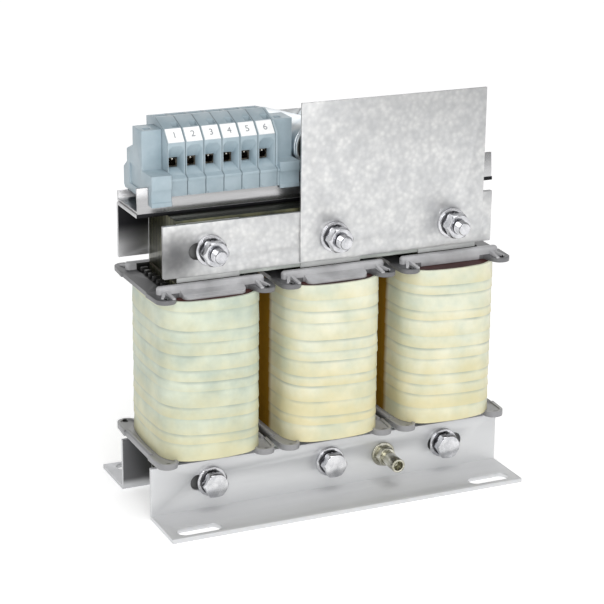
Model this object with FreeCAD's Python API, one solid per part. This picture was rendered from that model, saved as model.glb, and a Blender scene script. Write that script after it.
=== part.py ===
# Three-phase sine wave filter: a three-limb choke on slotted foot angles, with a
# terminal row and three filter capacitors on the shelf above its upper yoke.
# Millimetres, +Z up, X along the core. The origin is on the floor, midway
# between the four foot slots.

import FreeCAD, Part
import math
import os

V = FreeCAD.Vector

# Core
limb_pitch = 72.0
limb_width = 36.0
core_depth = 41.0
core_overhang = 0.0
yoke_height = 33.5
yoke_floor_gap = 0.5
window_height = 100.0
air_gap = 1.0
packing_thickness = 1.0
packing_inset = 0.4

# Sheet parts
bracket_sheet = 2.5
bracket_length = 214.0
web_height = 30.5
foot_depth = 35.0
bend_radius = 2.5
foot_slot_inset = 18.0
foot_slot_spacing_y = 98.0
foot_slot_length = 25.0
foot_slot_width = 9.0
bolt_slot_length = 21.5
bolt_slot_shift = 1.3
clamp_plate_length = 197.0
clamp_plate_height = 29.0
clamp_plate_lift = 3.0
clamp_corner_radius = 0.8
cover_sheet = 1.5
cover_width = 112.0
cover_height = 88.0
cover_left_x = -20.0
cover_lap_below = 1.0
shelf_sheet = 2.0
shelf_length = 214.6
shelf_front_y = -8.0
shelf_leg_drop = 31.5

# Core bolts, M8
bolt_radius = 4.0
bolt_clearance = 0.6
bolt_hole_radius = bolt_radius + bolt_clearance
hex_across_flats = 13.0
hex_head_height = 5.3
hex_nut_height = 6.5
washer_radius = 8.5
washer_thickness = 1.6
spring_washer_radius = 7.0
spring_washer_thickness = 2.0
spring_washer_split = 1.6
stud_projection = 6.0
bolt_play = 0.3
thread_play = 0.05
washer_play = 0.2
lower_bolt_lift = 1.0
bolt_chamfer = 0.9

# Earth connection, M6
earth_x = 33.5
earth_radius = 3.0
earth_nut_flats = 10.0
earth_nut_height = 5.0
earth_washer_radius = 7.0
earth_washer_thickness = 1.2
earth_sleeve_radius = 4.0
earth_sleeve_length = 14.0
earth_sleeve_bore_radius = 2.75
earth_bore_depth = 6.0

# Coil formers
former_clearance = 0.4
former_wall = 1.4
flange_gap = 2.0
flange_half_y = 37.2
flange_thickness = 2.4
flange_corner_radius = 2.0
ear_tip_radius = 5.8
ear_tip_inset = 0.8
ear_root_inset = 14.0
ear_side_length = 18.0
ear_slope = 4.0
ear_hole_radius = 1.2
ear_hole_depth = 3.2
eye_radius = 1.3
eye_x = 27.2
eye_y = 29.6
rim_width = 1.7
rim_height = 0.9
bottom_side_recess = 0.8
top_side_recess = 0.8
bead_radius = 1.3
collar_half_length = 30.8
collar_top_gap = 0.0
collar_wall = 4.4
collar_face_gap = 0.5
collar_round = 1.9
collar_lip = 3.0
apron_reach = (6.6, 6.6, 0.0)
apron_half_length = 18.0
apron_edge = 1.1
apron_corner_radius = 4.0
apron_groove = 0.4
rib_thickness = 1.7
rib_top_x = 26.0
rib_foot_drop = 0.7
outward_rib_foot = (30.4, 33.0)
inward_rib_foot = (25.2, 36.0)
tooth_count = 7
tooth_size = 2.0
top_flange_drop = 6.6

# Windings and their tape
coil_gap = 13.2
coil_half_y = 36.8
coil_corner_radius = 17.0
coil_front_radius = 90.0
coil_side_radius = 120.0
tape_thickness = 1.4
tape_lap = 0.5
tape_bands = 9
seat_gap = 0.1

# Rail
rail_end_inset = 0.5
rail_sheet = 1.3
rail_front_height = 14.0
rail_rear_height = 5.6
rail_crease_height = 4.6
rail_lean = 1.0
rail_depth = 32.0
rail_screw_radius = 2.0
rail_head_radius = 3.8
rail_head_height = 2.2
rail_screw_pitch = 90.0
rail_cross_width = 0.8
rail_cross_length = 4.4
rail_cross_depth = 1.0

# Terminal row
terminal_count = 6
terminal_pitch = 10.4
terminal_joint = 0.12
terminal_row_x = -89.2
terminal_half_depth = 21.8
terminal_tile_y = -9.2
terminal_tile_lift = 8.3
terminal_tile_height = 7.8
terminal_ledge_rise = 1.6
terminal_ledge_lip = 0.4
terminal_entry_lift = 19.0
terminal_entry_mid_lift = 24.8
terminal_hood_lift = 34.8
terminal_arch = 2.0
terminal_tag_lift = 36.7
terminal_tag_top_lift = 42.9
terminal_crown_lift = 47.0
terminal_back_lift = 45.4
terminal_front_y = -6.6
terminal_tag_top_y = -1.0
terminal_crown_y = 11.0
terminal_back_y = 24.6
rib_width = 1.5
funnel_depth = 5.2
entry_width = 5.8
entry_height = 5.6
entry_depth = 11.0
cage_wall = 0.7
tag_thickness = 0.5
tag_width = 9.0
channel_width = 5.4
channel_depth = 3.0
driver_shaft_left = 0.6
driver_shaft_width = 4.0
driver_shaft_front = 1.4
driver_shaft_depth = 4.6
clamp_screw_shift = 1.2
clamp_screw_inset = 5.0
screw_head_radius = 1.8
screw_head_height = 6.0
screw_slot_width = 0.6
screw_slot_depth = 1.0
notch_width = 1.6
notch_height = 1.0
shadow_width = 0.25
shadow_depth = 0.5
cage_play = 0.1
cage_setback = 1.6
cage_back_wall = 1.5
end_plate_thickness = 1.4
rail_slot_play = 0.2
rail_top_play = 0.05
rail_hook_foot = 3.0
rail_hook_toe = 2.4
rail_hook_lift = 0.3
rail_claw_reach = 1.2
rail_claw_drop = 1.6
terminal_shoulder = 2.0

# End brackets
end_bracket_width = 11.5
end_bracket_foot_lift = (4.3, 6.8)
end_bracket_front_reach = (21.8, 18.0)
end_bracket_step_one = 21.3
end_bracket_step_two = 28.4
end_bracket_top = 42.7
end_bracket_step_half_depth = 16.6
end_bracket_column_half_depth = 7.0
end_bracket_hook = 1.2
end_bracket_slope = 4.0
end_bracket_heel = 3.0
end_bracket_heel_inset = 1.5
end_bracket_toe_groove = (2.4, 9.0, 0.7)
end_bracket_recess = (-5.0, 12.0, 10.0, 0.9)
end_bracket_notch = (2.5, 4.0, 4.5, 2.5)

# Capacitors
can_count = 3
can_radius = 14.5
can_length = 84.0
can_pitch_x = 36.0
can_first_x = 1.5
can_axis_z = 194.8
can_tilt_deg = 6.5
can_front_y = -3.0
can_rim = 0.6
can_rim_length = 3.0
can_lip_length = 1.4
can_dome = 1.2
can_wall = 1.2
can_disc_recess = 0.8
can_disc_thickness = 1.35
tab_offset = 5.0
tab_width = 6.3
tab_thickness = 0.8
tab_length = 9.0
can_stud_radius = 4.0
can_stud_length = 11.0
tray_sheet = 2.0
tray_left_x = -13.0
tray_right_x = 89.0
tray_foot_depth = 9.0
tray_upstand = 26.0
can_nut_height = 5.0
can_washer_thickness = 1.2
tray_inset = 1.5

# Places worked out from the sizes above
limb_xs = [-limb_pitch, 0.0, limb_pitch]
foot_slot_spacing_x = bracket_length - 2 * foot_slot_inset
flange_half_x = (limb_pitch - flange_gap) / 2
coil_half_x = (limb_pitch - coil_gap) / 2
rail_length = shelf_length - 2 * rail_end_inset
core_half_x = limb_pitch + limb_width / 2 + core_overhang
core_half_y = core_depth / 2
sheet_y = core_half_y + packing_thickness
web_face_y = sheet_y + bracket_sheet
lower_yoke_top = yoke_floor_gap + yoke_height
upper_yoke_floor = lower_yoke_top + window_height
upper_yoke_top = upper_yoke_floor + yoke_height
lower_bolt_z = yoke_floor_gap + yoke_height / 2 + lower_bolt_lift
upper_bolt_z = upper_yoke_floor + yoke_height / 2
clamp_plate_floor = upper_yoke_floor + clamp_plate_lift
clamp_plate_top = clamp_plate_floor + clamp_plate_height
shelf_top = upper_yoke_top + shelf_sheet
rail_floor_top = shelf_top + rail_sheet
rail_rear_y = shelf_front_y + rail_depth
rail_mid_y = shelf_front_y + rail_depth / 2
rail_front_top = shelf_top + rail_front_height
rail_rear_top = shelf_top + rail_rear_height
former_floor = lower_yoke_top
collar_top = upper_yoke_floor - collar_top_gap
top_flange_floor = collar_top - top_flange_drop - seat_gap
top_flange_top = top_flange_floor + flange_thickness
bottom_flange_top = former_floor + flange_thickness
tube_half_x = limb_width / 2 + former_clearance + former_wall
tube_half_y = core_half_y + former_clearance + former_wall
collar_inner = sheet_y + collar_face_gap
collar_outer = collar_inner + collar_wall
tilt = math.radians(can_tilt_deg)


def box(x0, x1, y0, y1, z0, z1):
    return Part.makeBox(x1 - x0, y1 - y0, z1 - z0, V(x0, y0, z0))


def rod_y(x, z, radius, y0, y1):
    return Part.makeCylinder(radius, y1 - y0, V(x, y0, z), V(0, 1, 0))


def rod_z(x, y, radius, z0, z1):
    return Part.makeCylinder(radius, z1 - z0, V(x, y, z0), V(0, 0, 1))


def hexagon_y(x, z, flats, y0, y1):
    reach = flats / math.sqrt(3)
    corners = []
    for i in range(7):
        turn = math.radians(60 * i)
        corners.append(V(x + reach * math.cos(turn), y0, z + reach * math.sin(turn)))
    return Part.Face(Part.makePolygon(corners)).extrude(V(0, y1 - y0, 0))


def strip_x(section, x0, x1):
    """Extrude a closed outline of (y, z) points from x0 to x1."""
    corners = [V(x0, y, z) for y, z in section]
    corners.append(corners[0])
    return Part.Face(Part.makePolygon(corners)).extrude(V(x1 - x0, 0, 0))


def plate_z(outline, z0, z1):
    """Extrude a closed outline of (x, y) points from z0 to z1."""
    corners = [V(x, y, z0) for x, y in outline]
    corners.append(corners[0])
    return Part.Face(Part.makePolygon(corners)).extrude(V(0, 0, z1 - z0))


def slot_y(x, z, length, width, y0, y1):
    """A round-ended slot along X, cut through from y0 to y1."""
    half = (length - width) / 2
    body = box(x - half, x + half, y0, y1, z - width / 2, z + width / 2)
    ends = [rod_y(x + side * half, z, width / 2, y0, y1) for side in (-1, 1)]
    return body.fuse(ends)


def slot_z(x, y, length, width, z0, z1):
    """A round-ended slot along X, cut down from z1 to z0."""
    half = (length - width) / 2
    body = box(x - half, x + half, y - width / 2, y + width / 2, z0, z1)
    ends = [rod_z(x + side * half, y, width / 2, z0, z1) for side in (-1, 1)]
    return body.fuse(ends)


def rounded_wire(x, half_x, half_y, radius, z):
    """A rectangle with round corners, centred on (x, 0) at height z."""
    arc = radius * (1 - math.sqrt(0.5))
    edges = []
    quarters = ((1, 1), (-1, 1), (-1, -1), (1, -1))
    for i, (sx, sy) in enumerate(quarters):
        on_side = V(x + sx * half_x, sy * (half_y - radius), z)
        on_end = V(x + sx * (half_x - radius), sy * half_y, z)
        middle = V(x + sx * (half_x - arc), sy * (half_y - arc), z)
        first, last = (on_side, on_end) if sx * sy > 0 else (on_end, on_side)
        edges.append(Part.Arc(first, middle, last).toShape())
        nx, ny = quarters[(i + 1) % 4]
        if nx * ny > 0:
            start = V(x + nx * half_x, ny * (half_y - radius), z)
        else:
            start = V(x + nx * (half_x - radius), ny * half_y, z)
        edges.append(Part.LineSegment(last, start).toShape())
    return Part.Wire(edges)


def rounded_block(x, half_x, half_y, radius, z0, z1):
    wire = rounded_wire(x, half_x, half_y, radius, z0)
    return Part.Face(wire).extrude(V(0, 0, z1 - z0))


def coil_wire(x, grow, z):
    """The outline of a coil, grown all round: four shallow arcs and tangent corner arcs."""
    half_x = coil_half_x + grow
    half_y = coil_half_y + grow
    face_centre = V(0, half_y - coil_front_radius - grow, 0)
    side_centre = V(half_x - coil_side_radius - grow, 0, 0)
    to_face = coil_front_radius - coil_corner_radius
    to_side = coil_side_radius - coil_corner_radius
    line = side_centre - face_centre
    along = (to_face ** 2 - to_side ** 2 + line.Length ** 2) / (2 * line.Length)
    aside = math.sqrt(to_face ** 2 - along ** 2)
    way = V(line).normalize()
    corner = face_centre + way * along + V(way.y, -way.x, 0) * aside
    out_face = (corner - face_centre).normalize()
    out_side = (corner - side_centre).normalize()
    radius = coil_corner_radius + grow
    on_face = corner + out_face * radius
    on_side = corner + out_side * radius
    on_corner = corner + (out_face + out_side).normalize() * radius

    def at(point, sx, sy):
        return V(x + sx * point.x, sy * point.y, z)

    face_middle = V(0, half_y, 0)
    side_middle = V(half_x, 0, 0)
    edges = []
    for sx, sy in ((1, 1), (-1, 1), (-1, -1), (1, -1)):
        if sx == sy:
            edges.append(Part.Arc(at(on_side, sx, sy), at(on_corner, sx, sy), at(on_face, sx, sy)))
            edges.append(Part.Arc(at(on_face, sx, sy), at(face_middle, sx, sy), at(on_face, -sx, sy)))
        else:
            edges.append(Part.Arc(at(on_face, sx, sy), at(on_corner, sx, sy), at(on_side, sx, sy)))
            edges.append(Part.Arc(at(on_side, sx, sy), at(side_middle, sx, sy), at(on_side, sx, -sy)))
    return Part.Wire([edge.toShape() for edge in edges])


def coil_block(x, grow, z0, z1):
    return Part.Face(coil_wire(x, grow, z0)).extrude(V(0, 0, z1 - z0))


def solids_of(shape):
    return Part.makeCompound(shape.Solids)


def lying_along(shape, point):
    """Tip a shape built along +Y to the slope of the capacitors, about a point."""
    tipped = shape.copy()
    tipped.rotate(point, V(1, 0, 0), -can_tilt_deg)
    return tipped


parts = {}

# Laminated core: two yokes and three limbs, with a spacer in each air gap
bolt_holes = {}
for level, bolt_z in (("lower", lower_bolt_z), ("upper", upper_bolt_z)):
    reach = sheet_y + bracket_sheet + cover_sheet + 1
    bolt_holes[level] = [rod_y(x, bolt_z, bolt_hole_radius, -reach, reach) for x in limb_xs]


def make_yoke(z0, holes):
    bar = box(-core_half_x, core_half_x, -core_half_y, core_half_y, z0, z0 + yoke_height)
    return bar.cut(holes)


parts["lower_yoke"] = make_yoke(yoke_floor_gap, bolt_holes["lower"])
parts["upper_yoke"] = make_yoke(upper_yoke_floor, bolt_holes["upper"])

limbs = []
spacers = []
for x in limb_xs:
    x0 = x - limb_width / 2
    x1 = x + limb_width / 2
    limb_top = upper_yoke_floor - air_gap
    limbs.append(box(x0, x1, -core_half_y, core_half_y, lower_yoke_top, limb_top))
    spacers.append(box(x0, x1, -core_half_y, core_half_y, limb_top, upper_yoke_floor))
parts["core_limbs"] = Part.makeCompound(limbs)
parts["gap_spacers"] = Part.makeCompound(spacers)


# Packing strips between the core and the sheet parts, one at each limb and side
def make_packing(z0, z1, holes):
    strips = []
    for x in limb_xs:
        for side in (-1, 1):
            y0, y1 = sorted((side * core_half_y, side * sheet_y))
            strip = box(x - limb_width / 2, x + limb_width / 2, y0, y1, z0, z1)
            strips.append(strip.cut(holes))
    return Part.makeCompound(strips)


parts["lower_packing_strips"] = make_packing(
    yoke_floor_gap + bend_radius, lower_yoke_top - packing_inset, bolt_holes["lower"])
parts["upper_packing_strips"] = make_packing(
    upper_yoke_floor - packing_inset, clamp_plate_top, bolt_holes["upper"])


# Foot angles: one bent sheet each, with slotted feet and slots at the outer bolts
def make_foot_bracket():
    inner = -sheet_y
    outer = -web_face_y
    toe = outer - foot_depth + bracket_sheet
    half = bracket_length / 2
    section = [(inner, 0), (inner, web_height), (outer, web_height), (outer, bracket_sheet),
               (toe, bracket_sheet), (toe, 0)]
    sheet = strip_x(section, -half, half)
    bend = []
    crease = []
    for edge in sheet.Edges:
        middle = edge.CenterOfMass
        if edge.Length > bracket_length - 1 and abs(middle.y - inner) < 0.01 and middle.z < 0.01:
            bend.append(edge)
        if edge.Length > bracket_length - 1 and abs(middle.y - outer) < 0.01:
            if abs(middle.z - bracket_sheet) < 0.01:
                crease.append(edge)
    sheet = sheet.makeFillet(bend_radius, bend)
    for x in (-foot_slot_spacing_x / 2, foot_slot_spacing_x / 2):
        y = -foot_slot_spacing_y / 2
        sheet = sheet.cut(slot_z(x, y, foot_slot_length, foot_slot_width, -1, bracket_sheet + 1))
    hole_width = 2 * bolt_hole_radius
    for x in limb_xs:
        if x == 0.0:
            cutter = rod_y(x, lower_bolt_z, bolt_hole_radius, outer - 1, inner + 1)
        else:
            shift = math.copysign(bolt_slot_shift, x)
            cutter = slot_y(x + shift, lower_bolt_z, bolt_slot_length, hole_width,
                            outer - 1, inner + 1)
        sheet = sheet.cut(cutter)
    return sheet


front_foot = make_foot_bracket()
earth_z = lower_bolt_z - lower_bolt_lift
earth_hole = rod_y(earth_x, earth_z, earth_radius + washer_play, -web_face_y - 1, -sheet_y + 1)
parts["front_foot_bracket"] = front_foot.cut(earth_hole)
parts["rear_foot_bracket"] = make_foot_bracket().mirror(V(0, 0, 0), V(0, 1, 0))


# Upper front clamp plate, with slots at the outer bolts
def make_clamp_plate():
    half = clamp_plate_length / 2
    plate = box(-half, half, -web_face_y, -sheet_y, clamp_plate_floor, clamp_plate_top)
    corners = []
    for edge in plate.Edges:
        middle = edge.CenterOfMass
        if edge.Length < bracket_sheet + 0.01 and middle.z < clamp_plate_floor + 0.01:
            corners.append(edge)
    plate = plate.makeFillet(clamp_corner_radius, corners)
    hole_width = 2 * bolt_hole_radius
    for x in limb_xs:
        if x < 0:
            cutter = slot_y(x - bolt_slot_shift, upper_bolt_z, bolt_slot_length, hole_width,
                            -web_face_y - 1, -sheet_y + 1)
        else:
            cutter = rod_y(x, upper_bolt_z, bolt_hole_radius, -web_face_y - 1, -sheet_y + 1)
        plate = plate.cut(cutter)
    return plate


parts["front_clamp_plate"] = make_clamp_plate()


# Cover plate in front of the capacitors, held by two of the upper bolts
def make_cover_plate():
    x1 = cover_left_x + cover_width
    z0 = clamp_plate_floor + cover_lap_below
    plate = box(cover_left_x, x1, -web_face_y - cover_sheet, -web_face_y, z0, z0 + cover_height)
    return plate.cut(bolt_holes["upper"])


parts["cover_plate"] = make_cover_plate()


# Shelf: a sheet on top of the upper yoke, bent down behind it
def make_shelf():
    half = shelf_length / 2
    back = sheet_y + shelf_sheet
    leg_floor = shelf_top - shelf_leg_drop
    section = [(shelf_front_y, upper_yoke_top), (shelf_front_y, shelf_top), (back, shelf_top),
               (back, leg_floor), (sheet_y, leg_floor), (sheet_y, upper_yoke_top)]
    sheet = strip_x(section, -half, half)
    bend = [e for e in sheet.Edges
            if e.Length > shelf_length - 1 and abs(e.CenterOfMass.y - back) < 0.01
            and abs(e.CenterOfMass.z - shelf_top) < 0.01]
    sheet = sheet.makeFillet(shelf_sheet, bend)
    return sheet.cut(bolt_holes["upper"])


rail_screw_xs = [-rail_screw_pitch, 0.0, rail_screw_pitch]
rail_screw_holes = [rod_z(x, rail_mid_y, rail_screw_radius, upper_yoke_top - 1, rail_floor_top + 1)
                    for x in rail_screw_xs]
parts["shelf_bracket"] = make_shelf().cut(rail_screw_holes)


# Rail: a channel with a tall creased front wall and a low rear wall
def make_rail():
    half = rail_length / 2
    front = shelf_front_y
    rear = rail_rear_y
    crease = shelf_top + rail_crease_height
    section = [(front, shelf_top), (front, crease), (front + rail_lean, rail_front_top),
               (front + rail_lean + rail_sheet, rail_front_top), (front + rail_sheet, crease),
               (front + rail_sheet, rail_floor_top), (rear - rail_sheet, rail_floor_top),
               (rear - rail_sheet, rail_rear_top), (rear, rail_rear_top), (rear, shelf_top)]
    return strip_x(section, -half, half).cut(rail_screw_holes)


parts["terminal_rail"] = make_rail()

rail_screws = []
for x in rail_screw_xs:
    head_top = rail_floor_top + rail_head_height
    shank = rod_z(x, rail_mid_y, rail_screw_radius - thread_play, upper_yoke_top + seat_gap,
                  rail_floor_top)
    head = rod_z(x, rail_mid_y, rail_head_radius, rail_floor_top, head_top)
    arm = rail_cross_width / 2
    reach = rail_cross_length / 2
    cross = [box(x - arm, x + arm, rail_mid_y - reach, rail_mid_y + reach,
                 head_top - rail_cross_depth, head_top + 1),
             box(x - reach, x + reach, rail_mid_y - arm, rail_mid_y + arm,
                 head_top - rail_cross_depth, head_top + 1)]
    rail_screws.append(shank.fuse(head).cut(cross))
parts["rail_screws"] = Part.makeCompound(rail_screws)


# Coil formers: a rectangular tube with an eared flange at each end
def make_ear(x, z0, z1, inset):
    """One tongue of a flange, to the front right, its whole edge drawn in by inset."""
    radius = ear_tip_radius - inset
    tip_x = flange_half_x - ear_tip_inset - ear_tip_radius
    tip_y = -flange_half_y + ear_tip_radius
    outline = [(tip_x - radius, tip_y), (tip_x + radius, tip_y),
               (flange_half_x - inset, -flange_half_y + ear_side_length),
               (tube_half_x, -flange_half_y + ear_side_length + ear_slope),
               (tube_half_x, -collar_inner), (flange_half_x - ear_root_inset + inset, -collar_outer)]
    tongue = plate_z([(x + px, py) for px, py in outline], z0, z1)
    return tongue.fuse(rod_z(x + tip_x, tip_y, radius, z0, z1))


def four_ways(x, shape):
    """A shape at the front right of a former, and its mirror images in the other corners."""
    left = shape.mirror(V(x, 0, 0), V(1, 0, 0))
    pair = [shape, left]
    return pair + [one.mirror(V(x, 0, 0), V(0, 1, 0)) for one in pair]


def make_flange(x, z0, side_recess):
    z1 = z0 + flange_thickness
    half_x = flange_half_x - side_recess
    plate = rounded_block(x, half_x, collar_outer, flange_corner_radius, z0, z1)
    ear = make_ear(x, z0, z1, 0.0)
    tip_hole = rod_z(x + flange_half_x - ear_tip_inset - ear_tip_radius,
                     -flange_half_y + ear_hole_depth, ear_hole_radius, z0 - 1, z1 + 1)
    eye = rod_z(x + eye_x, -eye_y, eye_radius, z0 - 1, z1 + 1)
    return plate.fuse(four_ways(x, ear)).cut(four_ways(x, tip_hole) + four_ways(x, eye))


def make_rims(x):
    """Raised edges round the ears of the bottom flange, clear of the coil."""
    z0 = bottom_flange_top - rim_height
    z1 = bottom_flange_top + rim_height
    rim = make_ear(x, z0, z1, 0.0).cut(make_ear(x, bottom_flange_top, z1 + 1, rim_width))
    clear = tape_lap + former_clearance
    coil = coil_block(x, clear, bottom_flange_top, z1 + 1)
    inward = box(x - flange_half_x, x + flange_half_x, -flange_half_y + ear_side_length - 1, 0,
                 bottom_flange_top, z1 + 1)
    return four_ways(x, rim.cut([coil, inward]))


def make_collar(x, reach):
    """Round-edged ridge along the front of the top flange, with an apron over the coil."""
    ridge = box(x - collar_half_length, x + collar_half_length, -collar_outer, -collar_inner,
                top_flange_floor, collar_top)
    upright = [e for e in ridge.Edges if abs(e.tangentAt(e.FirstParameter).z) > 0.9]
    ridge = ridge.makeFillet(collar_wall / 2 - seat_gap, upright)
    top = [e for e in ridge.Edges if e.BoundBox.ZMin > collar_top - 0.01]
    ridge = ridge.makeFillet(collar_round, top)
    if reach == 0:
        return ridge
    root = -collar_outer + seat_gap
    edge = -collar_outer - reach
    lip_floor = collar_top - collar_lip
    low_top = top_flange_floor + apron_edge
    slope = (lip_floor - low_top) / reach
    groove_y = edge + reach / 3
    groove_z = low_top + slope * reach / 3
    section = [(root, top_flange_floor), (root, lip_floor), (-collar_outer, lip_floor),
               (groove_y + apron_groove, groove_z + slope * apron_groove),
               (groove_y, groove_z - apron_groove),
               (groove_y - apron_groove, groove_z - slope * apron_groove),
               (edge, low_top), (edge, top_flange_floor)]
    apron = strip_x(section, x - apron_half_length, x + apron_half_length)
    corners = rounded_block(x, apron_half_length, -edge, apron_corner_radius,
                            top_flange_floor - 1, collar_top)
    return ridge.fuse(apron.common(corners))


def make_rib(x, foot):
    """A thin web from the ridge, near its end, down to a point on the ear."""
    start = V(x + rib_top_x, -collar_outer + collar_wall / 2, 0)
    end = V(x + foot[0], -foot[1], 0)
    run = end - start
    across = V(-run.y, run.x, 0).normalize() * (rib_thickness / 2)
    heights = (top_flange_top - rib_foot_drop, collar_top - collar_round,
               top_flange_top + rib_foot_drop)
    corners = [V(start.x, start.y, heights[0]), V(start.x, start.y, heights[1]),
               V(end.x, end.y, heights[2]), V(end.x, end.y, heights[0])]
    corners = [corner - across for corner in corners]
    return Part.Face(Part.makePolygon(corners + [corners[0]])).extrude(across * 2)


def make_former(x, reach):
    tube = box(x - tube_half_x, x + tube_half_x, -tube_half_y, tube_half_y,
               former_floor, top_flange_top)
    half_x = limb_width / 2 + former_clearance
    half_y = core_half_y + former_clearance
    bore = box(x - half_x, x + half_x, -half_y, half_y, former_floor - 1, collar_top + 1)
    pieces = [make_flange(x, former_floor, bottom_side_recess),
              make_flange(x, top_flange_floor, top_side_recess)]
    pieces += make_rims(x)
    collar = make_collar(x, reach)
    pieces += [collar, collar.mirror(V(x, 0, 0), V(0, 1, 0))]
    for foot in (outward_rib_foot, inward_rib_foot):
        pieces += four_ways(x, make_rib(x, foot))
    bead_reach = flange_half_y - ear_side_length
    for side in (-1, 1):
        bead_x = x + side * (flange_half_x - bottom_side_recess - bead_radius)
        pieces.append(rod_y(bead_x, bottom_flange_top, bead_radius, -bead_reach, bead_reach))
        row = tooth_count - 1
        for i in range(tooth_count):
            tooth_y = -half_y + tooth_size + (2 * half_y - 2 * tooth_size) * i / row
            x0, x1 = sorted((x + side * tube_half_x, x + side * (tube_half_x + 2 * tooth_size)))
            pieces.append(box(x0, x1, tooth_y - tooth_size / 2, tooth_y + tooth_size / 2,
                              top_flange_top - seat_gap, top_flange_top + tooth_size))
    return tube.fuse(pieces).cut(bore).removeSplitter()


# Windings and the tape wrapped round them in overlapping bands
def make_winding(x):
    outer = coil_block(x, -tape_thickness - seat_gap, bottom_flange_top + seat_gap,
                       top_flange_floor - seat_gap)
    gap_x = tube_half_x + seat_gap
    gap_y = tube_half_y + seat_gap
    return outer.cut(box(x - gap_x, x + gap_x, -gap_y, gap_y, former_floor, collar_top))


def make_tape(x):
    z0 = bottom_flange_top + seat_gap
    height = top_flange_floor - seat_gap - z0
    band = height / tape_bands
    stack = []
    for i in range(tape_bands):
        low = coil_wire(x, tape_lap, z0 + i * band)
        high = coil_wire(x, 0.0, z0 + (i + 1) * band)
        stack.append(Part.makeLoft([low, high], True, True))
    body = stack[0].fuse(stack[1:])
    return body.cut(coil_block(x, -tape_thickness, z0 - 1, z0 + height + 1))


for name, x, reach in zip("uvw", limb_xs, apron_reach):
    parts["coil_former_" + name] = make_former(x, reach)
    parts["winding_" + name] = make_winding(x)
    parts["coil_tape_" + name] = make_tape(x)


# Core bolts. Each stack starts at the face of its sheet and grows forwards
def washer_y(x, z, radius, bore, y0, y1):
    return rod_y(x, z, radius, y0, y1).cut(rod_y(x, z, bore, y0 - 1, y1 + 1))


def spring_washer_y(x, z, y0, y1):
    ring = washer_y(x, z, spring_washer_radius, bolt_radius + washer_play, y0, y1)
    cut = box(x - spring_washer_split / 2, x + spring_washer_split / 2, y0 - 1, y1 + 1,
              z, z + spring_washer_radius + 1)
    return ring.cut(cut)


def hex_nut_y(x, z, flats, bore, y0, y1):
    """A nut with its corners turned down at both ends."""
    body = hexagon_y(x, z, flats, y0, y1)
    reach = flats / math.sqrt(3)
    cone_low = Part.makeCone(flats / 2, flats / 2 + (y1 - y0), y1 - y0, V(x, y0, z), V(0, 1, 0))
    cone_high = Part.makeCone(flats / 2, flats / 2 + (y1 - y0), y1 - y0, V(x, y1, z), V(0, -1, 0))
    turned = rod_y(x, z, reach + 1, y0, y1).common(cone_low).common(cone_high)
    nut = body.common(turned)
    if bore > 0:
        nut = nut.cut(rod_y(x, z, bore, y0 - 1, y1 + 1))
    return nut


groups = {}


def put(node, shape):
    groups.setdefault(node, []).append(shape)


def add_bolt(level, x, z, front_face, rear_face, head_in_front):
    """One through bolt with a washer pair in front and behind."""
    front_one = front_face - washer_thickness
    front_two = front_one - spring_washer_thickness
    rear_one = rear_face + washer_thickness
    rear_two = rear_one + spring_washer_thickness
    loose = bolt_radius + bolt_play
    put(level + "_washers", washer_y(x, z, washer_radius, loose, front_one, front_face))
    put(level + "_washers", washer_y(x, z, washer_radius, loose, rear_face, rear_one))
    put(level + "_spring_washers", spring_washer_y(x, z, front_two, front_one))
    put(level + "_spring_washers", spring_washer_y(x, z, rear_one, rear_two))
    threaded = bolt_radius + thread_play
    if head_in_front:
        head_face = front_two - hex_head_height
        head = hex_nut_y(x, z, hex_across_flats, 0, head_face, front_two)
        end = rear_two + hex_nut_height + stud_projection
        shank = rod_y(x, z, bolt_radius, front_two, end - bolt_chamfer)
        tip = Part.makeCone(bolt_radius, bolt_radius - bolt_chamfer, bolt_chamfer,
                            V(x, end - bolt_chamfer, z), V(0, 1, 0))
        put(level + "_bolts", head.fuse([shank, tip]))
        nut = hex_nut_y(x, z, hex_across_flats, threaded, rear_two, rear_two + hex_nut_height)
        put(level + "_nuts", nut)
    else:
        head_face = rear_two + hex_head_height
        head = hex_nut_y(x, z, hex_across_flats, 0, rear_two, head_face)
        end = front_two - hex_nut_height - stud_projection
        shank = rod_y(x, z, bolt_radius, end + bolt_chamfer, rear_two)
        tip = Part.makeCone(bolt_radius, bolt_radius - bolt_chamfer, bolt_chamfer,
                            V(x, end + bolt_chamfer, z), V(0, -1, 0))
        put(level + "_bolts", head.fuse([shank, tip]))
        nut = hex_nut_y(x, z, hex_across_flats, threaded, front_two - hex_nut_height, front_two)
        put(level + "_nuts", nut)


shelf_back_y = sheet_y + shelf_sheet
for x in limb_xs:
    add_bolt("lower", x, lower_bolt_z, -web_face_y, web_face_y, True)
    front_face = -web_face_y
    if x > cover_left_x:
        front_face = -web_face_y - cover_sheet
    add_bolt("upper", x, upper_bolt_z, front_face, shelf_back_y, False)

# Earth connection: a stud through the front web, with nut, washer and sleeve
earth_one = -web_face_y - earth_washer_thickness
earth_two = earth_one - earth_nut_height
earth_three = earth_two - earth_sleeve_length
stud_tail = -sheet_y + packing_thickness - washer_play
put("earth_washer", washer_y(earth_x, earth_z, earth_washer_radius, earth_radius + washer_play,
                             earth_one, -web_face_y))
put("earth_nut", hex_nut_y(earth_x, earth_z, earth_nut_flats, earth_radius + thread_play,
                           earth_two, earth_one))
sleeve = rod_y(earth_x, earth_z, earth_sleeve_radius, earth_three, earth_two)
tail = rod_y(earth_x, earth_z, earth_radius, earth_two, stud_tail)
bore = rod_y(earth_x, earth_z, earth_sleeve_bore_radius, earth_three - 1,
             earth_three + earth_bore_depth)
put("earth_stud", sleeve.fuse(tail).cut(bore))


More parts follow.
